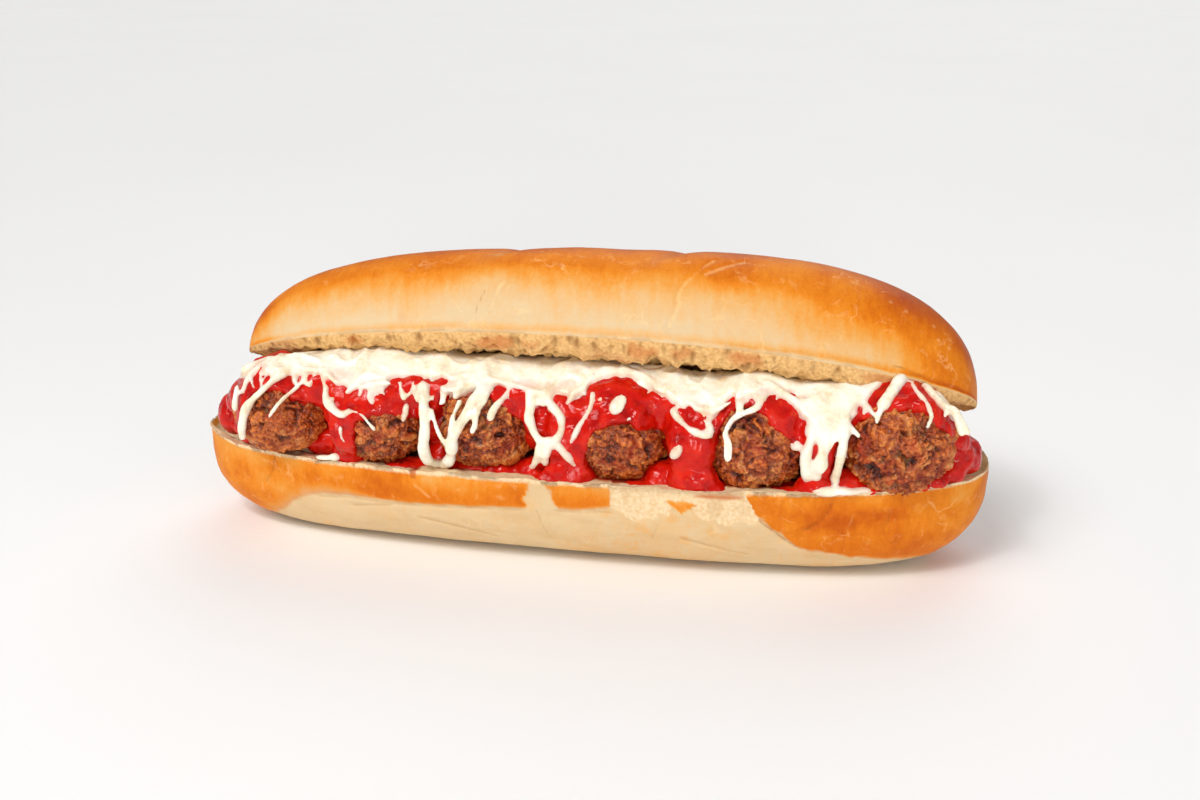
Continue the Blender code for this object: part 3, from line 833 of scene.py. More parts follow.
bottomPiece = makeBottomBun()
topPiece = makeTopBun()
bottomPiece.data.materials.append(breadMaterial(
    "bakedCrustLower", (breadLook["crumbShade"], breadLook["crumb"], breadLook["poreShade"]), 0.40))
topPiece.data.materials.append(breadMaterial(
    "bakedCrustUpper", (seen(206, 156, 96), seen(232, 190, 128), seen(128, 80, 40)), 0.10))
print("roll made")


# the meatballs

meatballs = {
    "places": ((-105.8, 48.7, 17.0), (-68.7, 47.1, 17.1), (-30.8, 46.8, 17.3),
               (14.8, 46.8, 18.5), (62.3, 47.7, 19.3), (109.0, 48.9, 19.4)),   # x, height, radius
    "rowY": -18.2, "seed": 101,
}
ballX = np.array([place[0] for place in meatballs["places"]])
ballZ = np.array([place[1] for place in meatballs["places"]])
ballR = np.array([place[2] for place in meatballs["places"]])


def ballBlank(name):
    work = bmesh.new()
    bmesh.ops.create_icosphere(work, subdivisions=6, radius=1.0)
    facing = [edge for edge in work.edges
              if all(v.co.y < 0.25 and v.co.z < 0.75 for v in edge.verts)]
    bmesh.ops.subdivide_edges(work, edges=facing, cuts=1, use_grid_fill=True)
    bmesh.ops.triangulate(work, faces=[f for f in work.faces if len(f.verts) > 4])
    mesh = bpy.data.meshes.new(name)
    work.to_mesh(mesh)
    work.free()
    numbers = np.empty(len(mesh.vertices) * 3, np.float32)
    mesh.vertices.foreach_get("co", numbers)
    ways = numbers.reshape(-1, 3).astype(float)
    ways /= np.linalg.norm(ways, axis=1)[:, None]
    return mesh, ways


def makeMeatball(index):
    x, z, radius = meatballs["places"][index]
    centre = np.array([x, meatballs["rowY"], z])
    seed = meatballs["seed"] + index * 37
    name = f"meatball_{index + 1}"
    mesh, ways = ballBlank(name)
    spots = ways * radius
    bend = np.stack([layeredNoise(spots + 40 * k, 6.0, seed + k, 3) for k in range(3)], 1)
    broad = layeredNoise(spots, 12, seed + 3, 3)
    bent = spots + bend * 2.6
    near, second, tone = grains(bent * np.array([0.62, 1, 0.8]), 3.6, seed + 10)
    crumbles = blend(0.95, 0.15, near) * (0.35 + 0.65 * tone)
    cuts = blend(0.24, 0.02, second - near) * (0.3 + 0.7 * blend(-0.3, 0.6, softNoise(spots, 5, seed + 15)))
    near2, second2, tone2 = grains(spots + bend * 1.4, 1.7, seed + 20)
    smallCuts = blend(0.22, 0.0, second2 - near2)
    pits = blend(0.42, 0.95, layeredNoise(bent, 4.6, seed + 30, 2))
    fine = layeredNoise(spots, 1.2, seed + 40, 4, 0.65)
    push = (0.95 * broad + 1.15 * crumbles - 0.55 * cuts + 0.42 * (1 - near2) * (0.4 + tone2) - 0.14 * smallCuts
            + 0.50 * fine - 1.2 * pits)
    push -= push.mean()
    push = np.clip(push, -3.0, 1.3)
    writePoints(mesh, centre + ways * (radius - 0.1 + push)[:, None])
    # local relief; the material uses it for painted shade in the hollows and a painted highlight on the raised bits
    keepValues(mesh, "relief", push - 0.55 * broad)
    keepValues(mesh, "cuts", np.clip(np.maximum(np.maximum(0.75 * cuts, 0.35 * smallCuts), pits), 0, 1))
    keepValues(mesh, "tone", 0.5 * tone + 0.5 * tone2)
    piece = linkPiece(name, mesh)
    settle(piece, "meat", name)
    return piece


meatLook = {
    # the pit and shade colours are painted shade for the crevices, the ridge colour is a painted highlight on the
    # raised bits; body, crumbs and sauceFilm are the meat's own colours
    "pitShade": seen(52, 14, 4), "shade": seen(120, 42, 12), "body": seen(174, 76, 24), "ridgeHighlight": seen(214, 120, 48),
    "crumbs": seen(230, 160, 88), "sauceFilm": seen(176, 32, 10),
}


def meatMaterial():
    look = meatLook
    material, tree, shader = newMaterial("brownedMince")
    coords = objectCoords(tree)
    coarse, fine, specks = grainOf(tree, coords, 160, 1100)
    # the relief picks the colour: painted shade in the low crevices, a painted highlight on the raised ridges
    relief = mathNode(tree, "MULTIPLY_ADD", mathNode(tree, "SUBTRACT", fine, 0.5), 3.4, keptValue(tree, "relief"))
    height = spread(tree, relief, -2.2, 1.5)
    colour = ramp(tree, height, [(0.12, look["pitShade"]), (0.36, look["shade"]), (0.62, look["body"]), (0.92, look["ridgeHighlight"])])
    tone = spread(tree, keptValue(tree, "tone"), 0.62, 0.85, 0, 0.45)
    colour = mixColours(tree, tone, colour, look["crumbs"])
    dark = spread(tree, keptValue(tree, "tone"), 0.34, 0.14, 0, 0.55)
    colour = mixColours(tree, dark, colour, look["shade"])
    # cuts and pits darkened with the pit colour: painted shade in the crevices
    colour = mixColours(tree, mathNode(tree, "MULTIPLY", keptValue(tree, "cuts"), 0.75), colour, look["pitShade"])
    film = spread(tree, coarse, 0.52, 0.70, 0, 0.35)
    colour = mixColours(tree, film, colour, look["sauceFilm"])
    colour = mixColours(tree, mathNode(tree, "MULTIPLY", specks, 0.5), colour, look["crumbs"])
    tree.links.new(colour, shader.inputs["Base Color"])
    tree.links.new(spread(tree, coarse, 0.35, 0.65, 0.24, 0.55), shader.inputs["Roughness"])
    micro = bumped(tree, fine, 0.6, 0.00035)
    tree.links.new(micro, shader.inputs["Normal"])
    shader.inputs["Specular IOR Level"].default_value = 0.38
    return material


mince = meatMaterial()
for index in range(len(meatballs["places"])):
    makeMeatball(index).data.materials.append(mince)
print("meatballs made")


# the wrap of the row: distance from its middle line



def rowHeight(x):
    return np.interp(x, ballX, ballZ)


def ballReach(x):
    reach = np.sqrt(np.maximum(0, ballR[None] ** 2 - (x[:, None] - ballX[None]) ** 2)).max(1)
    return reach


def softMax(first, second, ease):
    mixShare = np.clip(0.5 + 0.5 * (first - second) / ease, 0, 1)
    return first * mixShare + second * (1 - mixShare) + ease * mixShare * (1 - mixShare) * 0.5


def rowPoint(x, bearing, reach):
    turn = np.radians(bearing)
    return np.stack([x, meatballs["rowY"] - reach * np.cos(turn), rowHeight(x) + reach * np.sin(turn)], -1)


def endClose(x, start, end, sharpness=2.4):
    middle, half = (start + end) / 2, (end - start) / 2
    return np.maximum(0, 1 - np.abs((x - middle) / half) ** (sharpness * 3)) ** 0.5


# the sauce

sauce = {
    "start": -127.5, "end": 133.0, "thickness": 1.9, "sunk": 3.4, "seed": 211,
    # lowest bearing that the sauce reaches on the front, along x
    "lowEdge": ((-128, -50), (-119, -44), (-116, -8), (-113, 22), (-109, 34), (-100, 37), (-97, 33), (-91, 26),
                (-87, 8), (-84, -12), (-81, -60), (-77, -75), (-75, -32), (-73, 8), (-67, 15), (-58, 13), (-52, 15),
                (-49, 19), (-46, 34), (-42, 55), (-30, 62), (-27, 42), (-24, 32), (-18, 25), (-14.5, 8), (-10, -25),
                (-4, -72), (3, -74), (6, -40), (7.5, -2), (9, 10), (13, 16), (21, 20), (29, 17), (33, 8), (35, -20),
                (37, -70), (47, -74), (49, -30), (51, 20), (54, 46), (60, 49), (64, 40), (70, 27), (75, 10),
                (78, -14), (80, -50), (82, -74), (86, -74), (90, 10), (94, 30), (98, 42), (104, 47), (111, 47),
                (118, 43), (123, 34), (127, 2), (130, -40), (134, -60)),
    # how far the sauce fills the gap between two meatballs: middle x, half width, reach
    "fills": ((-123.5, 6, 11.0), (-78.5, 8, 14.9), (-49, 5, 11.5), (-12, 5, 12.5), (0.5, 8.5, 15.6), (41.5, 9, 16.2),
              (83, 7, 15.0), (129.0, 6.5, 12.5)),
    # loose drops and pools: x, y, height, then half sizes
    "drops": ((93, -31.5, 34.2, 4.5, 2.4, 1.4), (99.5, -30.3, 34.4, 5.0, 2.4, 1.4), (107, -28.8, 34.7, 5.5, 2.4, 1.4),
              (115.5, -26.0, 35.3, 5.0, 2.6, 1.7), (122, -23.5, 36.5, 4.5, 3.2, 2.6), (127.5, -19.5, 38.5, 5.0, 4.0, 4.4),
              (128.5, -15, 42.2, 6.8, 7.0, 7.5), (133, -10, 41.0, 5.5, 7.5, 6.5), (125, -18, 48.6, 5.0, 6.5, 7.0),
              (-121.5, -12, 40.5, 7.0, 8.0, 8.5), (-129, -8.5, 40.6, 6.0, 8.5, 8.0), (-118.5, -17, 36.0, 6.0, 4.0, 4.0),
              (42.5, -31.0, 33.5, 9.0, 5.6, 9.0), (41, -29.5, 43.0, 7.5, 6.0, 8.0), (48, -32, 32.0, 6.0, 4.5, 3.6),
              (0.0, -30.5, 33.0, 9.5, 5.6, 8.5), (1.5, -28.5, 42.0, 7.0, 6.0, 7.0), (-6, -32, 32.0, 6.0, 4.0, 3.0),
              (-79.5, -24.5, 33.5, 7.0, 5.4, 8.0), (-79.5, -25.5, 42.0, 6.0, 5.5, 8.0), (82.5, -30, 33.5, 6.5, 5.0, 6.5),
              (-46.5, -19.0, 33.0, 8.0, 6.0, 6.5), (-14, -25.0, 31.5, 7.5, 7.0, 5.5), (25, -32.5, 31.6, 7.0, 3.6, 2.0),
              (-60, -28.0, 31.6, 7.0, 3.0, 1.8), (72, -31.5, 32.4, 6.0, 3.6, 2.0), (-90, -18.5, 36.0, 9.0, 6.5, 6.0),
              (31, -27.0, 33.0, 6.5, 6.5, 6.0), (93, -26.5, 35.0, 7.0, 5.5, 5.5), (-24, -27.0, 31.8, 8.0, 4.0, 3.0),
              (8, -24.0, 31.0, 92.0, 6.0, 3.6)),
}


def sauceReach(x, bearing):
    fill = np.full(len(x), 8.5)
    for middle, half, reach in sauce["fills"]:
        fill = np.maximum(fill, 8.5 + (reach - 8.5) * blend(1.35, 0.55, np.abs(x - middle) / half))
    fill = np.maximum(fill, 8.5 + 7.5 * blend(20, 60, bearing))
    taper = endClose(x, sauce["start"] - 0.5, sauce["end"] + 0.5)
    return softMax(ballReach(x), fill * taper, 3.2)


def sauceCover(x, bearing):
    spots = np.stack([x, bearing * 0.3, 0 * x], 1)
    wander = layeredNoise(spots, 6.0, sauce["seed"], 3) * 7
    low = alongTable(sauce["lowEdge"], x)
    return blend(-5.0, 5.5, bearing - low + wander) * (bearing > -90)


def tubeMesh(line, thickness, sides=8):
    line = np.asarray(line, float)
    run = np.gradient(line, axis=0)
    run /= np.maximum(np.linalg.norm(run, axis=1), 1e-9)[:, None]
    side = np.cross(run, np.array([0.31, 0.17, 0.93]))
    side /= np.maximum(np.linalg.norm(side, axis=1), 1e-9)[:, None]
    other = np.cross(run, side)
    turn = np.linspace(0, 2 * math.pi, sides, endpoint=False)
    rings = (line[:, None] + thickness[:, None, None]
             * (side[:, None] * np.cos(turn)[None, :, None] + other[:, None] * np.sin(turn)[None, :, None]))
    caps = np.stack([line[0] - run[0] * thickness[0] * 0.9, line[-1] + run[-1] * thickness[-1] * 0.9])
    points = np.vstack([rings.reshape(-1, 3), caps])
    faces = gridFaces(len(line), sides)
    for k in range(sides):
        after = (k + 1) % sides
        faces.append([len(line) * sides, after, k])
        faces.append([len(line) * sides + 1, (len(line) - 1) * sides + k, (len(line) - 1) * sides + after])
    return points, faces


def blobMesh(centre, sizes, rings=9, sides=12):
    centre, sizes = np.array(centre, float), np.array(sizes, float)
    tilt = np.linspace(-0.94, 0.94, rings) * math.pi / 2
    line = np.stack([0 * tilt, 0 * tilt, np.sin(tilt)], 1)
    points, faces = tubeMesh(line, np.cos(tilt), sides)
    return centre + points * sizes, faces


def gather(parts):
    points, faces, count = [], [], 0
    for somePoints, someFaces in parts:
        points.append(somePoints)
        faces += [[corner + count for corner in face] for face in someFaces]
        count += len(somePoints)
    return np.vstack(points), faces


def frameSolid(node, shrink=0.0):
    mesh = frame["nodes"][node].data
    points = np.array([v.co[:] for v in mesh.vertices]) / mm - benchShift
    normals = np.array([v.normal[:] for v in mesh.vertices])
    return points - normals * shrink, [list(face.vertices) for face in mesh.polygons]


def wrapTube(x, bearings, reach):
    rings = rowPoint(np.repeat(x[:, None], len(bearings), 1), np.repeat(bearings[None], len(x), 0), reach)
    rows, columns = rings.shape[:2]
    points = np.vstack([rings.reshape(-1, 3), rings[0].mean(0)[None], rings[-1].mean(0)[None]])
    faces = gridFaces(rows, columns)
    for k in range(columns):
        after = (k + 1) % columns
        faces.append([rows * columns, after, k])
        faces.append([rows * columns + 1, (rows - 1) * columns + k, (rows - 1) * columns + after])
    return points, faces


def makeSauce():
    s = sauce
    x = np.arange(s["start"], s["end"], 0.8)
    bearings = np.arange(-180, 180, 2.5)
    gridX = np.repeat(x[:, None], len(bearings), 1).ravel()
    gridB = np.repeat(bearings[None], len(x), 0).ravel()
    spots = rowPoint(gridX, gridB, 16.0)
    pulp = layeredNoise(spots, 5.0, s["seed"] + 5, 3)
    reach = (sauceReach(gridX, gridB) - s["sunk"]
             + (s["sunk"] + s["thickness"] * (1 + 0.35 * pulp)) * sauceCover(gridX, gridB))
    behind = blend(100, 130, np.abs(gridB))
    reach = reach * (1 - behind) + np.minimum(reach, 10.0) * behind
    reach = reach * endClose(gridX, s["start"] - 0.5, s["end"] + 0.5, 9.0)
    parts = [wrapTube(x, bearings, reach.reshape(len(x), -1))]
    for drop in s["drops"]:
        parts.append(blobMesh(drop[:3], drop[3:]))
    bed = (np.array([3.0, 6.0, 35.0]), np.array([114.0, 20.0, 10.0]))
    parts.append(blobMesh(bed[0], bed[1], 15, 40))
    points, faces = gather(parts)
    mesh = meshFrom("sauce", points, faces)
    piece = linkPiece("sauce", mesh)
    fused(piece, 0.75, 4, 0.5, 190000)
    mesh = piece.data
    base, normals = readPoints(mesh), readNormals(mesh)
    lump = layeredNoise(base, 3.4, s["seed"] + 9, 3)
    near, second, tone = grains(base, 2.2, s["seed"] + 20)
    seeds = blend(0.34, 0.1, near) * (tone > 0.62)
    crushed = layeredNoise(base, 1.5, s["seed"] + 12, 3, 0.6)
    writePoints(mesh, base + normals * (0.30 * lump + 0.15 * crushed + 0.16 * seeds)[:, None])
    keepValues(mesh, "pulp", lump)
    keepValues(mesh, "seeds", seeds)
    settle(piece, "sauce", "sauce")
    return piece


def sauceMaterial():
    material, tree, shader = newMaterial("wetTomatoSauce")
    coords = objectCoords(tree)
    coarse, fine, specks = grainOf(tree, coords, 170, 1300)
    body = mathNode(tree, "MULTIPLY_ADD", mathNode(tree, "SUBTRACT", fine, 0.5), 0.4,
                    spread(tree, keptValue(tree, "pulp"), -1.6, 1.6))
    body = mathNode(tree, "MULTIPLY_ADD", mathNode(tree, "SUBTRACT", coarse, 0.5), 0.6, body)
    colour = ramp(tree, body, [(0.1, seen(158, 6, 2)), (0.5, seen(196, 15, 4)), (0.9, seen(214, 36, 12))])
    colour = mixColours(tree, mathNode(tree, "MULTIPLY", keptValue(tree, "seeds"), 0.30), colour, seen(222, 88, 36))
    tree.links.new(colour, shader.inputs["Base Color"])
    tree.links.new(spread(tree, coarse, 0.35, 0.65, 0.10, 0.24), shader.inputs["Roughness"])
    tree.links.new(bumped(tree, fine, 0.30, 0.0003), shader.inputs["Normal"])
    shader.inputs["Specular IOR Level"].default_value = 0.24
    shader.inputs["Coat Weight"].default_value = 0.06
    shader.inputs["Coat Roughness"].default_value = 0.05
    return material


saucePiece = makeSauce()
saucePiece.data.materials.append(sauceMaterial())
print("sauce made")


# the cheese

cheese = {
    "start": -119.0, "end": 128.5, "seed": 307, "sightSlope": 19.6, "shreds": 120, "fringe": 80,
    # lowest bearing of the closed sheet on the front, along x
    "hem": ((-119, 60), (-114, 45), (-108, 47), (-99, 62), (-92, 58), (-86, 62), (-80, 44), (-76, 36), (-70, 46),
            (-66, 50), (-60, 52), (-52, 55), (-49, 60), (-44, 50), (-38, 50), (-32, 56), (-28, 62), (-20, 62),
            (-14, 57), (-11, 54), (-6, 48), (0, 50), (3, 58), (6, 66), (10, 73), (17, 77), (24, 75), (28, 66), (32, 57),
            (37, 49), (42, 42), (49, 40), (53, 46), (57, 51), (63, 60), (68, 64), (73, 62), (77, 47), (81, 30),
            (84, 14), (87, 8), (90, 20), (93, 42), (97, 58), (101, 72), (105, 84), (109, 90), (114, 90), (118, 84), (121, 72),
            (124, 62), (129, 60)),
    # how far the sheet's top stands from the row's middle line where it meets the upper half, along x
    "topReach": ((-119, 2), (-116, 4.5), (-112, 8), (-107, 12.8), (-101, 16.8), (-90, 21.5), (-83, 23.2), (-64, 25.0),
                 (-46, 23.5), (-28, 23.7), (-7, 24.6), (7, 24.3), (21, 22.5), (42, 19.9), (62, 20.6), (76, 19.1),
                 (93, 18.5), (108, 17.3), (121, 12.6), (129, 6)),
    # x, bearing places down the front; first number is the thickness
    "strands": (
        (1.5, (-99, 64), (-103, 48), (-106, 36), (-112, 15), (-115, -12), (-116, -30)),
        (1.1, (-117, 40), (-117, 27), (-117, 11)),
        (0.75, (-94, 58), (-95, 47), (-99, 29), (-104, 5)),
        (1.6, (-87, 66), (-85, 45), (-84, 30), (-79, 16), (-75, 21)),
        (0.75, (-75, 21), (-71, 19), (-66, 3)),
        (1.0, (-69, 52), (-68, 38), (-67, 31)),
        (1.0, (-79, 0), (-79, -12), (-78, -19)),
        (1.9, (-51, 58), (-50, 41), (-49, 7), (-50, -22), (-49.5, -44), (-46.5, -58), (-43, -48), (-40.5, -26),
         (-39, -2), (-35, 22), (-31, 45), (-29, 58)),
        (1.0, (-47, 30), (-46, 19), (-42, -13), (-40, 7), (-39, 24), (-37, 40)),
        (0.9, (-31, 30), (-31, 16), (-32, 8)),
        (1.5, (-28, 62), (-29, 39), (-34, 22), (-38, 8), (-40, -22), (-44, -48), (-46, -62)),
        (1.2, (-21, 68), (-21, 58), (-25, 34), (-26, 22)),
        (0.9, (-29, 44), (-30, 30), (-31, 11)),
        (1.5, (-14, 60), (-13, 40), (-13, 26), (-9, 0), (-4, 1), (1, -18), (4, -38)),
        (1.6, (-9, 58), (-5, 40), (-2, 28), (-2, 11), (-7, -12), (-8, -36)),
        (1.2, (-9, 0), (-11, -29), (-15, -60)),
        (1.1, (8, 58), (8, 42), (4, 18), (1, -3)),
        (1.4, (26, 80), (31, 68), (36, 57), (39, 45)),
        (1.3, (35, 44), (37, 34), (42, 21), (48, 17), (47, 30)),
        (1.2, (65, 60), (63, 45), (58, 38), (55, 33), (53, 20), (54, 10), (54, -7)),
        (1.7, (64, 72), (75, 56), (81, 32), (80, 8), (79, -9), (80, -30), (81, -42), (85, -62), (89, -50), (89, -32)),
        (2.2, (88, 75), (87, 50), (86, 37), (85.5, 20), (85, 6), (84, -14), (83, -32), (84, -50)),
        (1.9, (91, 55), (91, 30), (91, 13), (90.5, 0), (90, -13), (89, -39), (88, -56)),
        (1.0, (90, 44), (93, 31), (96, 21)),
        (2.1, (110, 92), (107, 74), (105, 62), (102.5, 50)), (1.2, (103, 52), (101.5, 42), (101, 35)),
        (0.9, (97, 64), (99, 49), (101, 40)),
        (1.0, (112, 84), (113, 71), (118, 48), (117, 32)),
        (1.4, (116, 84), (119, 71), (123, 62), (126, 54), (128, 28)),
        (1.1, (126, 54), (128, 45), (130, 30)),
    ),
    # free-lying pieces: x, bearing, lift, length, width, lean
    "bits": ((17, 43, 1.9, 4.2, 2.7, 65), (11, 48, 1.8, 1.0, 0.9, 0), (37, -3, 1.4, 3.4, 2.0, 60),
             (76, 7, 1.6, 2.3, 2.0, 0), (-57, 25, 1.3, 3.6, 1.5, 80), (21, 30, 1.7, 1.1, 0.7, 20)),
    # places where the sheet thins and the sauce shows: x, bearing, half width, half turn
    "windows": ((-59, 60, 4.5, 7), (-52, 62, 4, 6), (-46, 64, 3, 6), (67, 70, 5, 5), (74, 66, 4, 6),
                (89, 8, 1.4, 4), (87, -62, 1.5, 4)),
    "feet": ((-88, -28.6, 33.4, 3.5, 1.6, 0.9), (-84, -28.8, 33.9, 2.4, 1.6, 1.5), (86, -33.2, 34.4, 5.5, 2.6, 1.8),
             (92, -32.8, 34.7, 6.0, 2.2, 1.3), (98, -31.4, 34.9, 4.0, 1.8, 1.0)),
}


def cheeseBase(x, bearing):
    fill = (11.5 + 4.5 * blend(10, 60, bearing)) * (0.35 + 0.65 * blend(-122, -102, x) * blend(131, 120, x))
    fill = np.where((x > 78) & (x < 92), np.maximum(fill, 15.5), fill)
    return softMax(ballReach(x), fill, 4.0) + 1.2


def cheeseReach(x, bearing):
    spots = np.stack([x, bearing * 0.3, 0 * x], 1)
    flow = layeredNoise(spots * np.array([1, 0.35, 1]), 8, cheese["seed"], 3, 0.4)
    thick = 2.2 + 0.9 * flow
    thin = np.zeros(len(x))
    for middle, turn, half, halfTurn in cheese["windows"]:
        away = np.hypot((x - middle) / half, (bearing - turn) / halfTurn)
        thin = np.maximum(thin, blend(1.25, 0.6, away + 0.25 * flow))
    front = cheeseBase(x, bearing) + thick
    slope = np.sin(np.radians(np.clip(bearing, 60, 168) - cheese["sightSlope"]))
    back = (alongTable(cheese["topReach"], x) + 0.7 * flow) / np.maximum(slope, 0.45)
    share = blend(66, 116, bearing)
    reach = front * (1 - share) + back * share
    return reach * (1 - thin) + (sauceReach(x, bearing) - 0.6) * thin


def makeSheet():
    c = cheese
    x = np.arange(c["start"], c["end"], 0.8)
    hem = alongTable(c["hem"], x)
    spots = np.stack([x, 0 * x, 0 * x], 1)
    hem = hem + 5.0 * layeredNoise(spots, 5, c["seed"] + 3, 3) * (hem < 72)
    steps = np.linspace(0, 1, 70)
    rings = []
    for place, low in zip(x, hem):
        bearing = low + (205 - low) * steps
        line = np.full(len(bearing), place)
        outer = cheeseReach(line, bearing)
        inner = cheeseBase(line, bearing) - 3.0
        lip = np.sqrt(np.clip(steps / 0.05, 0, 1))
        outer = inner + (outer - inner) * (0.30 + 0.70 * lip)
        close = endClose(np.array([place]), c["start"] - 0.4, c["end"] + 0.4)[0]
        shrink = 1 - close
        top = rowPoint(line, bearing, outer - (outer - inner) * 0.5 * shrink)
        bottom = rowPoint(line, bearing, inner + (outer - inner) * 0.4 * shrink)[::-1]
        rings.append(np.vstack([top, bottom]))
    rings = np.array(rings)
    rows, columns = rings.shape[:2]
    points = np.vstack([rings.reshape(-1, 3), rings[0].mean(0)[None], rings[-1].mean(0)[None]])
    faces = gridFaces(rows, columns)
    for k in range(columns):
        after = (k + 1) % columns
        faces.append([rows * columns, after, k])
        faces.append([rows * columns + 1, (rows - 1) * columns + k, (rows - 1) * columns + after])
    return points, faces


def tuckedUnder(points):
    x, across, up = points[:, 0], points[:, 1] - meatballs["rowY"], points[:, 2] - rowHeight(points[:, 0])
    bearing, reach = np.degrees(np.arctan2(up, -across)), np.hypot(across, up)
    most = np.where(bearing > -90, cheeseReach(x, np.clip(bearing, 0, 165)) - 1.2, reach)
    below = blend(4, -2, bearing - alongTable(cheese["hem"], x)) * (bearing > -90)
    hidden = np.minimum(most, np.maximum(sauceReach(x, bearing) - 1.6, 5))
    most = most * (1 - below) + hidden * below
    ends = alongTable(((-130, 3), (-119, 8), (-104, 24), (-90, 99), (100, 99), (114, 26), (126, 10), (134, 4)), x)
    limited = np.minimum(reach, np.where(bearing < 150, most, np.maximum(ends, 6)))
    return rowPoint(x, bearing, limited)


def smoothLine(places, step=1.1):
    places = np.array(places, float)
    ends = np.vstack([2 * places[0] - places[1], places, 2 * places[-1] - places[-2]])
    out = []
    for k in range(1, len(ends) - 2):
        a, b, c, d = ends[k - 1:k + 3]
        length = np.hypot(c[0] - b[0], (c[1] - b[1]) * 0.3)
        for share in np.linspace(0, 1, max(3, int(length / step)), endpoint=False):
            out.append(0.5 * (2 * b + (c - a) * share + (2 * a - 5 * b + 4 * c - d) * share ** 2
                              + (3 * b - a - 3 * c + d) * share ** 3))
    out.append(places[-1])
    return np.array(out)


def strandPart(places, thickness, seed, lift=0.35):
    line = smoothLine(places)
    x, bearing = line.T
    spots = np.stack([x, bearing * 0.3, 0 * x], 1)
    uneven = layeredNoise(spots, 4, seed, 2)
    size = thickness * (1 + 0.28 * uneven)
    ends = np.minimum(np.arange(len(x)) + 1, np.arange(len(x))[::-1] + 1)
    size = size * np.clip(0.75 + 0.12 * ends, 0, 1.0)
    reach = np.maximum(softMax(ballReach(x), 15.3 + 0 * x, 1.5), sauceReach(x, bearing) + 0.6) + 0.7 + lift * size
    return tubeMesh(rowPoint(x, bearing, reach), size, 10)


def makeCheese():
    c = cheese
    random = np.random.default_rng(c["seed"])
    parts = [makeSheet()]
    for k, strand in enumerate(c["strands"]):
        parts.append(strandPart(strand[1:], strand[0], c["seed"] + k))
    for k in range(c["shreds"]):
        start = np.array([random.uniform(c["start"] + 4, c["end"] - 4), 0.0])
        low = alongTable(c["hem"], start[0])
        start[1] = random.uniform(low + 3 + 8 * (low > 68), 128)
        heading = random.uniform(0, 2 * math.pi)
        count = int(random.integers(5, 12))
        places = [start]
        for step in range(count):
            heading += random.normal(0, 0.38)
            places.append(places[-1] + np.array([math.cos(heading) * 2.2, math.sin(heading) * 2.2 / 0.3]))
        places = np.array(places)
        floorBearing = alongTable(c["hem"], places[:, 0]) + 2
        floorBearing = floorBearing + 6 * (floorBearing > 68)
        places[:, 1] = np.clip(places[:, 1], floorBearing, 150)
        places[:, 0] = np.clip(places[:, 0], c["start"] + 2, c["end"] - 2)
        size = random.uniform(0.8, 1.25)
        x, bearing = places.T
        reach = cheeseReach(x, bearing) + random.uniform(-0.9, -0.1)
        sizes = size * np.clip(0.55 + 0.2 * np.minimum(np.arange(len(x)), np.arange(len(x))[::-1]), 0, 1)
        parts.append(tubeMesh(rowPoint(x, bearing, reach), sizes, 8))
    for k in range(c["fringe"]):
        x0 = random.uniform(c["start"] + 2, c["end"] - 2)
        low = alongTable(c["hem"], x0)
        length = random.uniform(4, 15)
        drift = random.normal(0, 1.2)
        if low > 68:
            continue
        places = [(x0, low + 9), (x0 + drift * 0.4, low + 2), (x0 + drift, low - length * 0.5),
                  (x0 + drift * 1.6, low - length)]
        parts.append(strandPart(places, random.uniform(0.55, 1.15), c["seed"] + 500 + k, 0.2))
    for x, bearing, lift, length, width, lean in c["bits"]:
        reach = sauceReach(np.array([x]), np.array([bearing]))[0] + lift
        turn, spin = math.radians(bearing), math.radians(lean)
        centre = rowPoint(np.array([x]), np.array([bearing]), reach)[0]
        outward = np.array([0, -math.cos(turn), math.sin(turn)])
        upward = np.array([0, math.sin(turn), math.cos(turn)])
        sideways = np.array([1.0, 0, 0])
        longWay = sideways * math.cos(spin) + upward * math.sin(spin)
        crossWay = np.cross(outward, longWay)
        points, faces = blobMesh((0, 0, 0), (1, 1, 1), 9, 14)
        points = (points[:, 2:3] * longWay * length + points[:, 0:1] * crossWay * width
                  + points[:, 1:2] * outward * min(width, 1.3))
        parts.append((centre + points, faces))
    for foot in c["feet"]:
        parts.append(blobMesh(foot[:3], foot[3:]))
    solid, solidFaces = frameSolid("cheese", 0.6)
    parts.append((tuckedUnder(solid), solidFaces))
    points, faces = gather(parts)
    mesh = meshFrom("cheese", points, faces)
    piece = linkPiece("cheese", mesh)
    fused(piece, 0.6, 5, 0.5, 195000)
    mesh = piece.data
    base, normals = readPoints(mesh), readNormals(mesh)
    lump = layeredNoise(base, 4.0, c["seed"] + 9, 3)
    writePoints(mesh, base + normals * (0.10 * lump)[:, None])
    keepValues(mesh, "depth", depthUnder(mesh))
    settle(piece, "cheese", "cheese")
    return piece


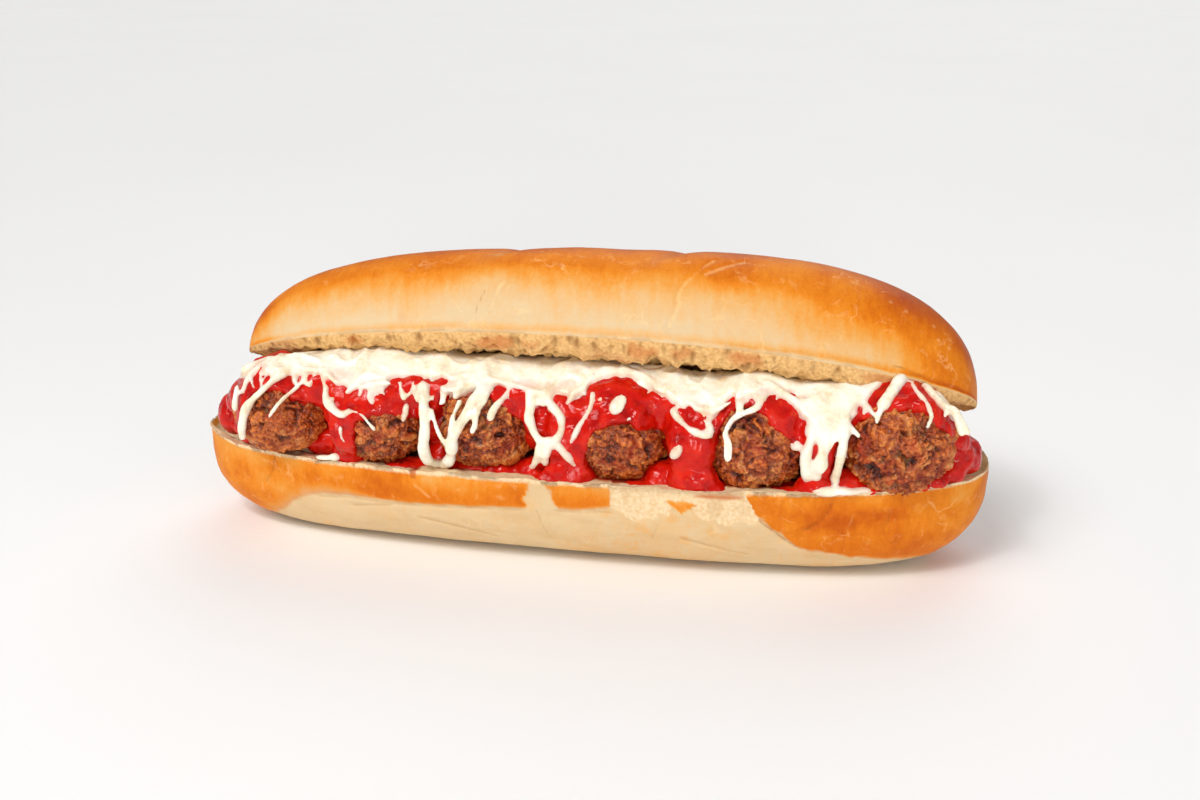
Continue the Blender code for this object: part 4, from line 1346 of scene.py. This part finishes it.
def depthUnder(mesh):
    trees = []
    for name in ("sauce",) + tuple(f"meatball_{k + 1}" for k in range(len(meatballs["places"]))):
        other = [o for o in bpy.data.objects if o.name == name and "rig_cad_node" not in o] or \
                [o for o in bpy.data.objects if o.name.startswith(name + ".") and "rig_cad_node" not in o]
        if other:
            other = other[0].data
            trees.append(BVHTree.FromPolygons([v.co[:] for v in other.vertices],
                                              [tuple(f.vertices) for f in other.polygons]))
    values = np.empty(len(mesh.vertices))
    for index, vertex in enumerate(mesh.vertices):
        spot = vertex.co
        found = 6.0
        if spot.y < 0.0:
            for tree in trees:
                place, normal, face, away = tree.find_nearest(spot, 0.006)
                if away is not None:
                    inside = (spot - place).dot(normal)
                    found = min(found, away / mm if inside > 0 else 0.0)
        values[index] = found
    return values


def cheeseMaterial():
    material, tree, shader = newMaterial("meltedWhiteCheese")
    coords = objectCoords(tree)
    coarse, fine, specks = grainOf(tree, coords, 120, 900)
    tone = mathNode(tree, "MULTIPLY_ADD", mathNode(tree, "SUBTRACT", fine, 0.5), 0.4, coarse)
    colour = ramp(tree, tone, [(0.30, seen(228, 212, 184)), (0.42, seen(242, 231, 204)), (0.52, seen(247, 240, 221)),
                             (0.66, seen(250, 245, 232))])
    thin = spread(tree, keptValue(tree, "depth"), 1.5, 0.2, 0.0, 0.50)
    colour = mixColours(tree, thin, colour, seen(220, 152, 132))
    toast = spread(tree, noiseNode(tree, coords, 150, 3), 0.64, 0.74, 0, 0.45)
    colour = mixColours(tree, toast, colour, seen(232, 178, 92))
    tree.links.new(colour, shader.inputs["Base Color"])
    tree.links.new(spread(tree, coarse, 0.3, 0.7, 0.16, 0.36), shader.inputs["Roughness"])
    tree.links.new(bumped(tree, coarse, 0.15, 0.0005), shader.inputs["Normal"])
    shader.inputs["Subsurface Weight"].default_value = 0.35
    shader.inputs["Subsurface Radius"].default_value = (1.0, 0.75, 0.45)
    shader.inputs["Subsurface Scale"].default_value = 0.002
    shader.inputs["Specular IOR Level"].default_value = 0.45
    return material


cheesePiece = makeCheese()
cheesePiece.data.materials.append(cheeseMaterial())
print("cheese made")
